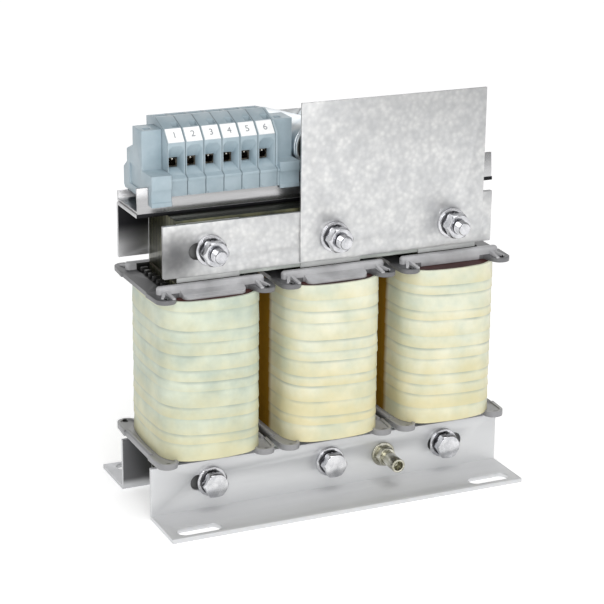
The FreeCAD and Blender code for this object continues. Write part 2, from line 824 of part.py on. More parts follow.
# Terminal housings: a moulded section along X with a funnel to the clamp
def terminal_section(slot):
    z0 = shelf_top
    front = terminal_tile_y
    lip = front - terminal_ledge_lip
    back = rail_mid_y + terminal_half_depth
    tile = z0 + terminal_tile_lift
    ledge = tile + terminal_tile_height
    claw_y = rail_rear_y + rail_claw_reach
    wall_low = shelf_front_y - slot
    wall_high = shelf_front_y + rail_lean + rail_sheet + slot
    belly = rail_rear_top + seat_gap
    return [(front, tile), (front, ledge), (lip, ledge + terminal_ledge_lip / 2),
            (lip, ledge + terminal_ledge_rise),
            (terminal_front_y, z0 + terminal_entry_lift),
            (terminal_front_y, z0 + terminal_tag_lift),
            (terminal_tag_top_y, z0 + terminal_tag_top_lift),
            (terminal_crown_y, z0 + terminal_crown_lift), (terminal_back_y, z0 + terminal_back_lift),
            (terminal_back_y, z0 + terminal_entry_lift),
            (back, z0 + terminal_entry_lift - terminal_shoulder),
            (back, tile), (claw_y, tile - rail_claw_drop), (claw_y, belly),
            (wall_high + rail_hook_foot, belly),
            (wall_high + rail_hook_toe, rail_floor_top + rail_hook_lift),
            (wall_high, rail_floor_top + rail_hook_lift),
            (wall_high, rail_front_top + rail_top_play),
            (wall_low, rail_front_top + rail_top_play), (wall_low, tile)]


def funnel(x, z0):
    """Hood with an arched ceiling and a ramp for a floor, narrowing to the clamp entry."""
    wide_x = terminal_pitch / 2 - rib_width / 2
    mid = z0 + terminal_entry_mid_lift
    mouths = []
    for y, half_x, z_low, z_high, arch in (
            (terminal_front_y - 0.01, wide_x, z0 + terminal_entry_lift, z0 + terminal_hood_lift,
             terminal_arch),
            (terminal_front_y + funnel_depth, entry_width / 2, mid - entry_height / 2,
             mid + entry_height / 2, terminal_arch / 4)):
        corners = [V(x - half_x, y, z_low), V(x + half_x, y, z_low), V(x + half_x, y, z_high - arch),
                   V(x + half_x - arch, y, z_high), V(x - half_x + arch, y, z_high),
                   V(x - half_x, y, z_high - arch), V(x - half_x, y, z_low)]
        mouths.append(Part.makePolygon(corners))
    cone = Part.makeLoft(mouths, True, True)
    y0 = terminal_front_y + funnel_depth - 0.01
    pocket = box(x - entry_width / 2, x + entry_width / 2, y0, y0 + entry_depth,
                 mid - entry_height / 2, mid + entry_height / 2)
    return cone.fuse(pocket), mid


def make_terminal(index):
    x0 = terminal_row_x + index * terminal_pitch + terminal_joint / 2
    x1 = x0 + terminal_pitch - terminal_joint
    x = (x0 + x1) / 2
    z0 = shelf_top
    body = strip_x(terminal_section(rail_slot_play), x0, x1)
    hollow, mid = funnel(x, z0)
    channel_y = (terminal_crown_y + terminal_back_y) / 2
    channel = box(x0 + rib_width / 2, x1 - rib_width / 2, channel_y - channel_width / 2,
                  channel_y + channel_width / 2,
                  z0 + terminal_back_lift - channel_depth, z0 + terminal_crown_lift + 1)
    screw_x = x + clamp_screw_shift
    screw_y = terminal_front_y + funnel_depth + clamp_screw_inset
    shaft_y = terminal_tag_top_y + driver_shaft_front
    shaft_floor = mid + entry_height / 2 + screw_head_height - screw_slot_depth
    shaft = box(x + driver_shaft_left, x + driver_shaft_left + driver_shaft_width,
                shaft_y, shaft_y + driver_shaft_depth, shaft_floor, z0 + terminal_crown_lift + 1)
    head_room = rod_z(screw_x, screw_y, screw_head_radius + bolt_play, mid,
                      shaft_floor + 2 * screw_slot_depth)
    front = terminal_tile_y
    tile = z0 + terminal_tile_lift
    shadow_line = box(x0 - 1, x0 + shadow_width, front - 1, front + shadow_depth,
                      z0, tile + terminal_tile_height)
    notch = box(x0 - 1, x0 + notch_width, front - 1, front + shadow_depth, tile - 1,
                tile + notch_height)
    body = body.cut([hollow, channel, shaft, head_room, shadow_line, notch])
    return body, x, mid, screw_x, screw_y


for index in range(terminal_count):
    body, x, mid, screw_x, screw_y = make_terminal(index)
    parts["terminal_housing_%d" % (index + 1)] = body
    half_x = entry_width / 2 - cage_play
    half_z = entry_height / 2 - cage_play
    y0 = terminal_front_y + funnel_depth + cage_setback
    y1 = terminal_front_y + funnel_depth + entry_depth - 2 * cage_play
    cage = box(x - half_x, x + half_x, y0, y1, mid - half_z, mid + half_z)
    inner = box(x - half_x + cage_wall, x + half_x - cage_wall, y0 - 1, y1 - cage_back_wall,
                mid - half_z + cage_wall, mid + half_z - cage_wall)
    shank_radius = screw_head_radius - 4 * cage_play
    screw_hole = rod_z(screw_x, screw_y, shank_radius + cage_play, mid, mid + half_z + 1)
    put("clamp_cages", cage.cut([inner, screw_hole]))
    head_floor = mid + half_z + cage_play
    head_top = mid + half_z + screw_head_height
    shank = rod_z(screw_x, screw_y, shank_radius, mid + cage_wall, head_floor)
    head = rod_z(screw_x, screw_y, screw_head_radius, head_floor, head_top)
    slot = box(screw_x - screw_head_radius, screw_x + screw_head_radius,
               screw_y - screw_slot_width / 2, screw_y + screw_slot_width / 2,
               head_top - screw_slot_depth, head_top + 1)
    put("clamp_screws", shank.fuse(head).cut(slot))
    run = terminal_tag_top_y - terminal_front_y
    rise = terminal_tag_top_lift - terminal_tag_lift
    slope = math.hypot(run, rise)
    lift_y = -tag_thickness * rise / slope
    lift_z = tag_thickness * run / slope
    low_y = terminal_front_y
    low_z = shelf_top + terminal_tag_lift
    high_y = terminal_tag_top_y
    high_z = shelf_top + terminal_tag_top_lift
    tag = strip_x([(low_y, low_z), (high_y, high_z), (high_y + lift_y, high_z + lift_z),
                   (low_y + lift_y, low_z + lift_z)], x - tag_width / 2, x + tag_width / 2)
    put("marker_tags", tag)

# End plate on the open side of the last housing
row_end_x = terminal_row_x + terminal_count * terminal_pitch
parts["terminal_end_plate"] = strip_x(
    terminal_section(rail_slot_play), row_end_x + terminal_joint / 2,
    row_end_x + end_plate_thickness)


# End brackets that hold the row on the rail
def make_end_bracket(x0, foot_lift, front_reach):
    x1 = x0 + end_bracket_width
    z0 = shelf_top
    mid = rail_mid_y
    low = z0 + foot_lift
    front = mid - front_reach
    back = mid + terminal_half_depth
    wall_low = shelf_front_y - rail_slot_play
    wall_high = shelf_front_y + rail_lean + rail_sheet + rail_slot_play
    belly = rail_rear_top + seat_gap
    step = end_bracket_step_half_depth
    column = end_bracket_column_half_depth
    one = z0 + end_bracket_step_one
    two = z0 + end_bracket_step_two
    top = z0 + end_bracket_top
    section = [(front, low), (front, one), (mid - column, one),
               (mid - column, top), (mid + column, top),
               (mid + column, two + end_bracket_slope), (mid + step, two),
               (mid + step, one), (back, one - end_bracket_slope),
               (back, low + end_bracket_heel), (back - end_bracket_heel_inset, belly),
               (wall_high + rail_hook_foot, belly),
               (wall_high + rail_hook_toe, rail_floor_top + rail_hook_lift),
               (wall_high, rail_floor_top + rail_hook_lift),
               (wall_high, rail_front_top + rail_top_play),
               (wall_low, rail_front_top + rail_top_play),
               (wall_low, low + end_bracket_hook), (wall_low - end_bracket_hook, low)]
    body = strip_x(section, x0, x1)
    groove_low, groove_high, groove_depth = end_bracket_toe_groove
    toe_cut = box(x0 - 1, x1 + 1, front - 1, front + groove_depth,
                  low + groove_low, low + groove_high)
    recess_front, recess_back, recess_lift, recess_depth = end_bracket_recess
    recess = box(x0 - 1, x0 + recess_depth, mid + recess_front, mid + recess_back,
                 z0 + recess_lift, one)
    notch_inset, notch_side, notch_front, notch_depth = end_bracket_notch
    notch = box(x0 + notch_inset, x0 + notch_inset + notch_side, mid - notch_front,
                mid - notch_front + notch_side, top - notch_depth, top + 1)
    return body.cut([toe_cut, recess, notch])


for name, x0, foot_lift, front_reach in zip(
        ("left", "right"), (terminal_row_x - end_bracket_width, row_end_x + end_plate_thickness),
        end_bracket_foot_lift, end_bracket_front_reach):
    parts["end_bracket_" + name] = make_end_bracket(x0, foot_lift, front_reach)


# Capacitors: three aluminium cans that lie on a sloping tray
def can_pieces(x):
    start = V(x, can_front_y, can_axis_z - can_front_y * math.tan(tilt))
    y0 = can_front_y
    z = start.z
    end = y0 + can_length
    disc_start = y0 + can_disc_recess
    disc_end = disc_start + can_disc_thickness
    shell = rod_y(x, z, can_radius, y0 + can_rim_length, end - can_dome)
    neck = rod_y(x, z, can_radius - can_rim, y0 + can_lip_length, y0 + can_rim_length)
    rim = rod_y(x, z, can_radius, y0, y0 + can_lip_length)
    base = Part.makeCone(can_radius, can_radius - can_dome, can_dome,
                         V(x, end - can_dome, z), V(0, 1, 0))
    stud = rod_y(x, z, can_stud_radius, end, end + can_stud_length)
    recess = rod_y(x, z, can_radius - can_wall, y0 - 1, disc_end + seat_gap / 2)
    can = shell.fuse([neck, rim, base, stud]).cut(recess)
    disc = rod_y(x, z, can_radius - can_wall - seat_gap, disc_start, disc_end)
    tabs = []
    for side in (-1, 1):
        tab_x = x + side * tab_offset
        tabs.append(box(tab_x - tab_thickness / 2, tab_x + tab_thickness / 2,
                        disc_start - tab_length, disc_start,
                        z - tab_width / 2, z + tab_width / 2))
    nut_start = end + tray_sheet
    nut_seat = nut_start + can_washer_thickness
    washer = washer_y(x, z, washer_radius, can_stud_radius + washer_play, nut_start, nut_seat)
    nut = hex_nut_y(x, z, hex_across_flats, can_stud_radius + thread_play, nut_seat,
                    nut_seat + can_nut_height)
    hole = rod_y(x, z, can_stud_radius + bolt_play, end - 1, end + tray_sheet + 1)
    return start, can, disc, tabs, washer, nut, hole


stud_holes = []
for i in range(can_count):
    x = can_first_x + i * can_pitch_x
    start, can, disc, tabs, washer, nut, hole = can_pieces(x)
    parts["capacitor_%d" % (i + 1)] = lying_along(can, start)
    put("capacitor_discs", lying_along(disc, start))
    for tab in tabs:
        put("capacitor_tabs", lying_along(tab, start))
    put("capacitor_washers", lying_along(washer, start))
    put("capacitor_nuts", lying_along(nut, start))
    stud_holes.append(lying_along(hole, start))


# Capacitor tray: a foot in the rail, a sloping floor and an upstand for the studs
def make_tray():
    point = V(0, can_front_y, can_axis_z - can_front_y * math.tan(tilt))
    down = can_radius + seat_gap
    end = can_front_y + can_length

    def on_slope(along, drop):
        y = point.y + along * math.cos(tilt) - drop * math.sin(tilt)
        z = point.z - along * math.sin(tilt) - drop * math.cos(tilt)
        return y, z

    length = end - can_front_y
    top_front = on_slope(tray_inset, down)
    low_front = (top_front[0], on_slope(tray_inset, down + tray_sheet)[1])
    riser_y = top_front[0]
    foot_top = rail_floor_top + tray_sheet
    section = [top_front, on_slope(length, down), on_slope(length, down - tray_upstand),
               on_slope(length + tray_sheet, down - tray_upstand),
               on_slope(length + tray_sheet, down + tray_sheet),
               on_slope(tray_inset + 1.2 * tray_sheet, down + tray_sheet),
               (riser_y + tray_sheet, foot_top), (riser_y + tray_foot_depth, foot_top),
               (riser_y + tray_foot_depth, rail_floor_top), (riser_y, rail_floor_top)]
    tray = strip_x(section, tray_left_x, tray_right_x)
    heads = [rod_z(x, rail_mid_y, rail_head_radius + bolt_play, rail_floor_top - 1, foot_top + 1)
             for x in rail_screw_xs]
    return tray.cut(stud_holes + heads)


parts["capacitor_tray"] = make_tray()

for node, shapes in groups.items():
    parts[node] = Part.makeCompound(shapes)

os.makedirs("parts", exist_ok=True)
for node, shape in parts.items():
    solids_of(shape).exportStep("parts/%s.step" % node)
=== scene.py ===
"""Looks of an open sine wave filter: a taped three-limb choke on foot angles.

A terminal row, a cover plate and three capacitor cans stand on top of it.
"""
import logging
import math
from dataclasses import dataclass, replace
from enum import Enum

import bmesh
import bpy
from mathutils import Matrix, Vector, noise


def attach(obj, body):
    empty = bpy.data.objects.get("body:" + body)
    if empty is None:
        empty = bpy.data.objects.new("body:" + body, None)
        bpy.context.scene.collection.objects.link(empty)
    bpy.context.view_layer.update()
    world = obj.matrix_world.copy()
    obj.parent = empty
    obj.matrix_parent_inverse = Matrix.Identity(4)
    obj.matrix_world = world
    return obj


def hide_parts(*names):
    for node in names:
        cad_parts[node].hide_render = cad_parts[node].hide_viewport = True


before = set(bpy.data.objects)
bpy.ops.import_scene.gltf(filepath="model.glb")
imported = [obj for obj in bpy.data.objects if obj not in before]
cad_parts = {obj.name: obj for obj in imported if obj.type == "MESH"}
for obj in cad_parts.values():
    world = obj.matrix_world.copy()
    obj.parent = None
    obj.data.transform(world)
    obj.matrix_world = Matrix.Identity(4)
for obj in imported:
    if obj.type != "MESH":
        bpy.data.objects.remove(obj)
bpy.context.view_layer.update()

log = logging.getLogger("sine_wave_filter")

MM = 0.001
ROOT = "root"
LIMB_PITCH_MM = 72.0
# From this metallic value on, a finish needs no index of refraction
METAL_FROM = 0.5
# How far apart a wave texture of scale 1 repeats, in metres
WAVE_STEP = math.pi / 10
# Between these parts of its normal, a face turns into an upward or a front one
UPWARD = (0.6, 0.9)
FORWARD = (-0.2, -0.6)
Pair = tuple[float, float]
Triple = tuple[float, float, float]
Socket = bpy.types.NodeSocket
Piece = bpy.types.Object
Shell = bmesh.types.BMesh


def linear(hex_code: str) -> tuple[float, ...]:
    """Turn an sRGB hex colour to the linear values that a shader takes.

    Args:
        hex_code: Six hex digits, with or without a leading hash.

    Returns:
        Red, green, blue and an alpha of 1.
    """
    digits = hex_code.lstrip("#")
    channels = [int(digits[i:i + 2], 16) / 255 for i in (0, 2, 4)]
    lit = [c / 12.92 if c <= 0.04045 else ((c + 0.055) / 1.055) ** 2.4 for c in channels]
    return (*lit, 1.0)


def per_metre(size_mm: float) -> float:
    """Give the pattern scale whose features are size_mm apart in Object coordinates."""
    return 1.0 / (size_mm * MM)


def add_node(tree: bpy.types.NodeTree, kind: str, settings: dict | None = None,
             links: dict | None = None, stops: list | None = None) -> bpy.types.Node:
    """Add a node with its settings and links.

    Args:
        tree: The node tree that gets the node.
        kind: The node's type name.
        settings: Values for inputs, by name or index, or for properties, by name.
        links: Output sockets to link into inputs, by input name or index.
        stops: Positions and hex colours, where the node has a colour ramp.

    Returns:
        The new node.
    """
    node = tree.nodes.new(kind)
    for name, value in (settings or {}).items():
        if isinstance(name, int) or name in node.inputs:
            node.inputs[name].default_value = value
        else:
            setattr(node, name, value)
    for name, socket in (links or {}).items():
        tree.links.new(socket, node.inputs[name])
    if stops:
        ramp = node.color_ramp
        while len(ramp.elements) < len(stops):
            ramp.elements.new(0.5)
        for element, (place, hex_code) in zip(ramp.elements, stops):
            element.position = place
            element.color = linear(hex_code)
    return node


@dataclass(frozen=True)
class Surface:
    """One material's tree and shader, with the steps that several finishes need."""

    tree: bpy.types.NodeTree
    shader: bpy.types.Node

    def place(self) -> Socket:
        """Add the piece's own coordinates."""
        return add_node(self.tree, "ShaderNodeTexCoord").outputs["Object"]

    def facing(self) -> Socket:
        """Add the direction that the surface faces."""
        return add_node(self.tree, "ShaderNodeNewGeometry").outputs["Normal"]

    def attribute(self, name: str) -> Socket:
        """Read an attribute that the piece's mesh carries."""
        return add_node(self.tree, "ShaderNodeAttribute", {"attribute_name": name}).outputs["Fac"]

    def axes(self, vector: Socket) -> tuple[Socket, ...]:
        """Part a vector into its X, Y and Z."""
        return tuple(add_node(self.tree, "ShaderNodeSeparateXYZ", None,
                              {"Vector": vector}).outputs)

    def maths(self, operation: str, *values: Socket | float) -> Socket:
        """Add one step of arithmetic.

        Args:
            operation: The step's name.
            values: A socket or a plain number for each input in turn.

        Returns:
            The result.
        """
        plain = {i: v for i, v in enumerate(values) if isinstance(v, (int, float))}
        wired = {i: v for i, v in enumerate(values) if i not in plain}
        return add_node(self.tree, "ShaderNodeMath", {"operation": operation, **plain},
                        wired).outputs["Value"]

    def remap(self, value: Socket, start: float = 0.0, end: float = 1.0, low: float = 0.0,
              high: float = 1.0, smooth: bool = False) -> Socket:
        """Map one range of a value to another, and stop at its ends.

        Args:
            value: The value.
            start: Where the first range starts.
            end: Where the first range ends.
            low: What the start becomes.
            high: What the end becomes.
            smooth: Whether the way between them eases in and out.

        Returns:
            The mapped value.
        """
        return add_node(self.tree, "ShaderNodeMapRange",
                        {"From Min": start, "From Max": end, "To Min": low, "To Max": high,
                         "interpolation_type": "SMOOTHSTEP" if smooth else "LINEAR"},
                        {"Value": value}).outputs["Result"]

    def grains(self, vector: Socket, size_mm: float, detail: float,
               roughness: float = 0.5) -> Socket:
        """Add a noise pattern.

        Args:
            vector: The coordinates that it reads.
            size_mm: How far apart its features are.
            detail: How many finer layers it has.
            roughness: How strong the finer layers are.

        Returns:
            The pattern, from 0 to 1.
        """
        return add_node(self.tree, "ShaderNodeTexNoise",
                        {"Scale": per_metre(size_mm), "Detail": detail, "Roughness": roughness},
                        {"Vector": vector}).outputs["Fac"]

    def distance(self, vector: Socket, point_mm: Triple) -> Socket:
        """Measure how far a vector lies from a point, in metres."""
        point = tuple(v * MM for v in point_mm)
        return add_node(self.tree, "ShaderNodeVectorMath", {"operation": "DISTANCE", 1: point},
                        {0: vector}).outputs["Value"]

    def all_of(self, *tests: tuple[str, Socket, float]) -> Socket:
        """Add a mask that is 1 where every test holds.

        Args:
            tests: The comparison, a socket and a limit in millimetres for each test.

        Returns:
            The mask.
        """
        masks = [self.maths(kind, socket, limit_mm * MM) for kind, socket, limit_mm in tests]
        whole = masks[0]
        for mask in masks[1:]:
            whole = self.maths("MULTIPLY", whole, mask)
        return whole

    def drive(self, name: str, value: Socket) -> None:
        """Link a value to one of the shader's inputs."""
        self.tree.links.new(value, self.shader.inputs[name])

    def tint(self, amount: Socket, shade: str) -> None:
        """Lay a shade over the colour so far."""
        colour = self.shader.inputs["Base Color"].links[0].from_socket
        mixed = add_node(self.tree, "ShaderNodeMix", {"data_type": "RGBA", 7: linear(shade)},
                         {0: amount, 6: colour})
        self.drive("Base Color", mixed.outputs[2])

    def relief(self, height: Socket, strength: float, depth_mm: float) -> None:
        """Raise the surface by a pattern, in place of an earlier relief."""
        bump = add_node(self.tree, "ShaderNodeBump",
                        {"Strength": strength, "Distance": depth_mm * MM}, {"Height": height})
        self.drive("Normal", bump.outputs["Normal"])


class Grain(Enum):
    """The axis that a surface's streaks run along."""

    NONE = (1.0, 1.0, 1.0)
    ALONG_X = (0.06, 1.0, 1.0)


@dataclass(frozen=True)
class Finish:
    """A surface: two shades that drift into each other, gloss and a fine relief."""

    name: str
    slot: str
    dark: str
    light: str
    metallic: float = 0.0
    roughness: float = 0.5
    roughness_drift: float = 0.1
    ior: float = 1.5
    patch_mm: float = 12.0
    grit_mm: float = 1.2
    grit_depth_mm: float = 0.02
    grain: Grain = Grain.NONE
    contrast: float = 0.35
    patch_detail: float = 4.0
    patch_roughness: float = 0.55
    grit_detail: float = 2.0
    grit_strength: float = 0.6

    def material(self) -> bpy.types.Material:
        """Build the finish's material, or find the one that is there already."""
        found = bpy.data.materials.get(self.name)
        if found:
            return found
        made = bpy.data.materials.new(self.name)
        made.use_nodes = True
        nodes = Surface(made.node_tree, made.node_tree.nodes["Principled BSDF"])
        nodes.shader.inputs["Metallic"].default_value = self.metallic
        if self.metallic < METAL_FROM:
            nodes.shader.inputs["IOR"].default_value = self.ior
        self.cover(nodes)
        self.detail(nodes)
        return made

    def cover(self, nodes: Surface) -> None:
        """Link the plain colour, gloss and grit, squeezed along the grain.

        Args:
            nodes: The material's nodes.
        """
        squeeze = add_node(nodes.tree, "ShaderNodeMapping", {"Scale": self.grain.value},
                           {"Vector": nodes.place()})
        vector = squeeze.outputs["Vector"]
        patches = nodes.grains(vector, self.patch_mm, self.patch_detail, self.patch_roughness)
        low, high = 0.5 - self.contrast / 2, 0.5 + self.contrast / 2
        shade = add_node(nodes.tree, "ShaderNodeValToRGB", None, {"Fac": patches},
                         [(low, self.dark), (high, self.light)])
        grit = nodes.grains(vector, self.grit_mm, self.grit_detail)
        mean, drift = self.roughness, self.roughness_drift
        nodes.drive("Base Color", shade.outputs["Color"])
        nodes.drive("Roughness", nodes.remap(grit, low=mean - drift, high=mean + drift))
        nodes.relief(grit, self.grit_strength, self.grit_depth_mm)

    def detail(self, nodes: Surface) -> None:
        """Add what a special finish has over the plain one.

        Args:
            nodes: The material's nodes.
        """


@dataclass(frozen=True)
class Laminations(Finish):
    """Stacked steel sheets: bands across the stack, with a dark line at each joint."""

    band_mm: float = 1.4 * math.pi
    joint: str = "#22241F"
    joint_amount: float = 0.75
    joint_width: float = 0.35
    joint_strength: float = 0.5
    joint_depth_mm: float = 0.06
    flat_part: Pair = (0.8, 0.95)
    # Painted light on the outer sheets' flat faces, up to the clamp plate's lower edge
    lit_sheet_face: str = "#D2D8D2"
    face_metallic: float = 0.1
    strip_mm: Pair = (136.9, 137.3)
    # Painted shade on the upward faces
    shaded_top_face: str = "#34372F"

    def detail(self, nodes: Surface) -> None:
        """Link bands and joints, painted light low on the outer sheets, painted shade on tops."""
        place = nodes.place()
        bands = add_node(nodes.tree, "ShaderNodeTexWave",
                         {"wave_type": "BANDS", "bands_direction": "Y", "wave_profile": "SIN",
                          "Scale": per_metre(self.band_mm) * WAVE_STEP, "Distortion": 0.6,
                          "Detail": 1.0, "Detail Scale": 3.0}, {"Vector": place}).outputs["Fac"]
        nodes.tint(nodes.remap(bands, 0.0, self.joint_width, self.joint_amount, 0.0), self.joint)
        nodes.relief(bands, self.joint_strength, self.joint_depth_mm)
        _, along, up = nodes.axes(nodes.facing())
        low, high = (v * MM for v in self.strip_mm)
        flat = nodes.remap(nodes.maths("ABSOLUTE", along), *self.flat_part)
        shown = nodes.maths("MULTIPLY", flat, nodes.remap(nodes.axes(place)[2], high, low))
        nodes.tint(shown, self.lit_sheet_face)
        nodes.drive("Metallic", nodes.remap(shown, low=self.metallic, high=self.face_metallic))
        nodes.tint(nodes.remap(up, *UPWARD), self.shaded_top_face)


@dataclass(frozen=True)
class SpangledZinc(Finish):
    """Hot dipped zinc: soft crystal patches over a fine grain, and one spot of painted shade."""

    spangle_mm: float = 2.6
    spangle_range: Pair = (0.2, 0.8)
    spangle_shade: str = "#BEBFC0"
    spangle_amount: float = 0.6
    # Painted shade: a dark patch round this point, beside the left upper bolt
    shade_spot_mm: Triple = (-92.0, -24.0, 148.0)
    shade_spot_reach_mm: Pair = (2.0, 22.0)
    shade_spot_colour: str = "#48484A"
    shade_spot_amount: float = 0.8

    def detail(self, nodes: Surface) -> None:
        """Link the crystal patches and the painted shade beside the left upper bolt."""
        place = nodes.place()
        cells = add_node(nodes.tree, "ShaderNodeTexVoronoi",
                         {"feature": "SMOOTH_F1", "Scale": per_metre(self.spangle_mm),
                          "Smoothness": 0.8, "Randomness": 1.0},
                         {"Vector": place}).outputs["Distance"]
        nodes.tint(nodes.remap(cells, *self.spangle_range, high=self.spangle_amount),
                   self.spangle_shade)
        near, far = (v * MM for v in self.shade_spot_reach_mm)
        off = nodes.distance(place, self.shade_spot_mm)
        nodes.tint(nodes.remap(off, near, far, self.shade_spot_amount, 0.0, smooth=True),
                   self.shade_spot_colour)


@dataclass(frozen=True)
class ShadedMoulding(Finish):
    """The formers' plastic: flanges in painted shade, lighter low down, painted shadow in wells and
    holes.
    """

    # Painted shade on the flanges' upward faces
    top: str = "#565658"
    # Painted shade over the flanges, which makes them darker than collar and apron
    edge: str = "#6C6C6E"
    # Painted shadow in the wells round the limbs and in the ear holes
    well_shadow: str = "#050505"
    top_amount: float = 0.9
    top_part: Pair = (0.75, 0.97)
    ridge_low_mm: float = 129.7
    apron_mm: Triple = (18.5, 26.2, 126.0)
    hole_mm: Triple = (28.7, 34.3, 0.0)
    hole_radius_mm: float = 1.6
    # Painted light: the lower flanges and their upward faces lighter than the upper ones
    lit_low_flange: str = "#8E8E90"
    lit_low_top: str = "#A2A2A4"
    low_mm: float = 60.0
    well_mm: Triple = (25.0, 22.3, 128.5)

    def detail(self, nodes: Surface) -> None:
        """Link painted shade on flanges and tops, painted shadow in wells and holes, alike round
        each limb.
        """
        x, y, high = nodes.axes(nodes.place())
        up = nodes.axes(nodes.facing())[2]
        upward = nodes.remap(up, *self.top_part, high=self.top_amount)
        near = nodes.maths("PINGPONG", x, LIMB_PITCH_MM / 2 * MM)
        aside = nodes.maths("ABSOLUTE", y)
        half_x, half_y, well_low = self.well_mm
        apron_x, apron_y, apron_low = self.apron_mm
        well_shadow = nodes.all_of(("LESS_THAN", near, half_x), ("LESS_THAN", aside, half_y),
                            ("GREATER_THAN", high, well_low))
        ridge = nodes.all_of(("GREATER_THAN", high, self.ridge_low_mm))
        apron = nodes.all_of(("LESS_THAN", near, apron_x), ("GREATER_THAN", aside, apron_y),
                             ("GREATER_THAN", high, apron_low))
        flange = nodes.maths("SUBTRACT", 1.0, nodes.maths("MAXIMUM", ridge, apron))
        folded = add_node(nodes.tree, "ShaderNodeCombineXYZ", None, {0: near, 1: aside})
        off = nodes.distance(folded.outputs["Vector"], self.hole_mm)
        hole = nodes.all_of(("LESS_THAN", off, self.hole_radius_mm))
        low_down = nodes.all_of(("LESS_THAN", high, self.low_mm))
        for amount, shade in ((flange, self.edge),
                              (nodes.maths("MULTIPLY", upward, flange), self.top),
                              (low_down, self.lit_low_flange),
                              (nodes.maths("MULTIPLY", low_down, upward), self.lit_low_top),
                              (well_shadow, self.well_shadow), (hole, self.well_shadow)):
            nodes.tint(amount, shade)


@dataclass(frozen=True)
class ShadedSheet(Finish):
    """A surface with painted shade on its front faces, from one height up to another."""

    shade: str = "#3C3C3D"
    low_mm: float = 139.0
    high_mm: float = 163.0
    most: float = 0.85

    def detail(self, nodes: Surface) -> None:
        """Link the painted shade over the front faces."""
        height = nodes.axes(nodes.place())[2]
        low, high = self.low_mm * MM, self.high_mm * MM
        rise = nodes.remap(height, low, high, high=self.most, smooth=True)
        forward = nodes.remap(nodes.axes(nodes.facing())[1], *FORWARD)
        nodes.tint(nodes.maths("MULTIPLY", rise, forward), self.shade)


@dataclass(frozen=True)
class DullTop(Finish):
    """A metal surface whose upward faces scatter more of the light."""

    top_metallic: float = 0.05

    def detail(self, nodes: Surface) -> None:
        """Link the upward faces' lower metallic value."""
        up = nodes.axes(nodes.facing())[2]
        nodes.drive("Metallic", nodes.remap(up, *UPWARD, self.metallic, self.top_metallic))


@dataclass(frozen=True)
class ModuleRow(Finish):
    """Moulded housings side by side, with a dark line where two of them meet."""

    first_mm: float = -89.2
    last_mm: float = -26.6
    pitch_mm: float = 10.4
    line_mm: Pair = (0.16, 0.42)
    line_shade: str = "#3E4A52"
    line_amount: float = 0.75
    margin_mm: float = 1.0
    side_part: float = 0.5

    def detail(self, nodes: Surface) -> None:
        """Link the lines between the housings."""
        x = nodes.axes(nodes.place())[0]
        moved = nodes.maths("SUBTRACT", x, self.first_mm * MM)
        folded = nodes.maths("PINGPONG", moved, self.pitch_mm / 2 * MM)
        near, far = (v * MM for v in self.line_mm)
        line = nodes.remap(folded, far, near, high=self.line_amount)
        side = nodes.maths("ABSOLUTE", nodes.axes(nodes.facing())[0])
        level = nodes.maths("LESS_THAN", side, self.side_part)
        inside = nodes.all_of(("GREATER_THAN", x, self.first_mm - self.margin_mm),
                              ("LESS_THAN", x, self.last_mm))
        shown = nodes.maths("MULTIPLY", inside, level)
        nodes.tint(nodes.maths("MULTIPLY", line, shown), self.line_shade)


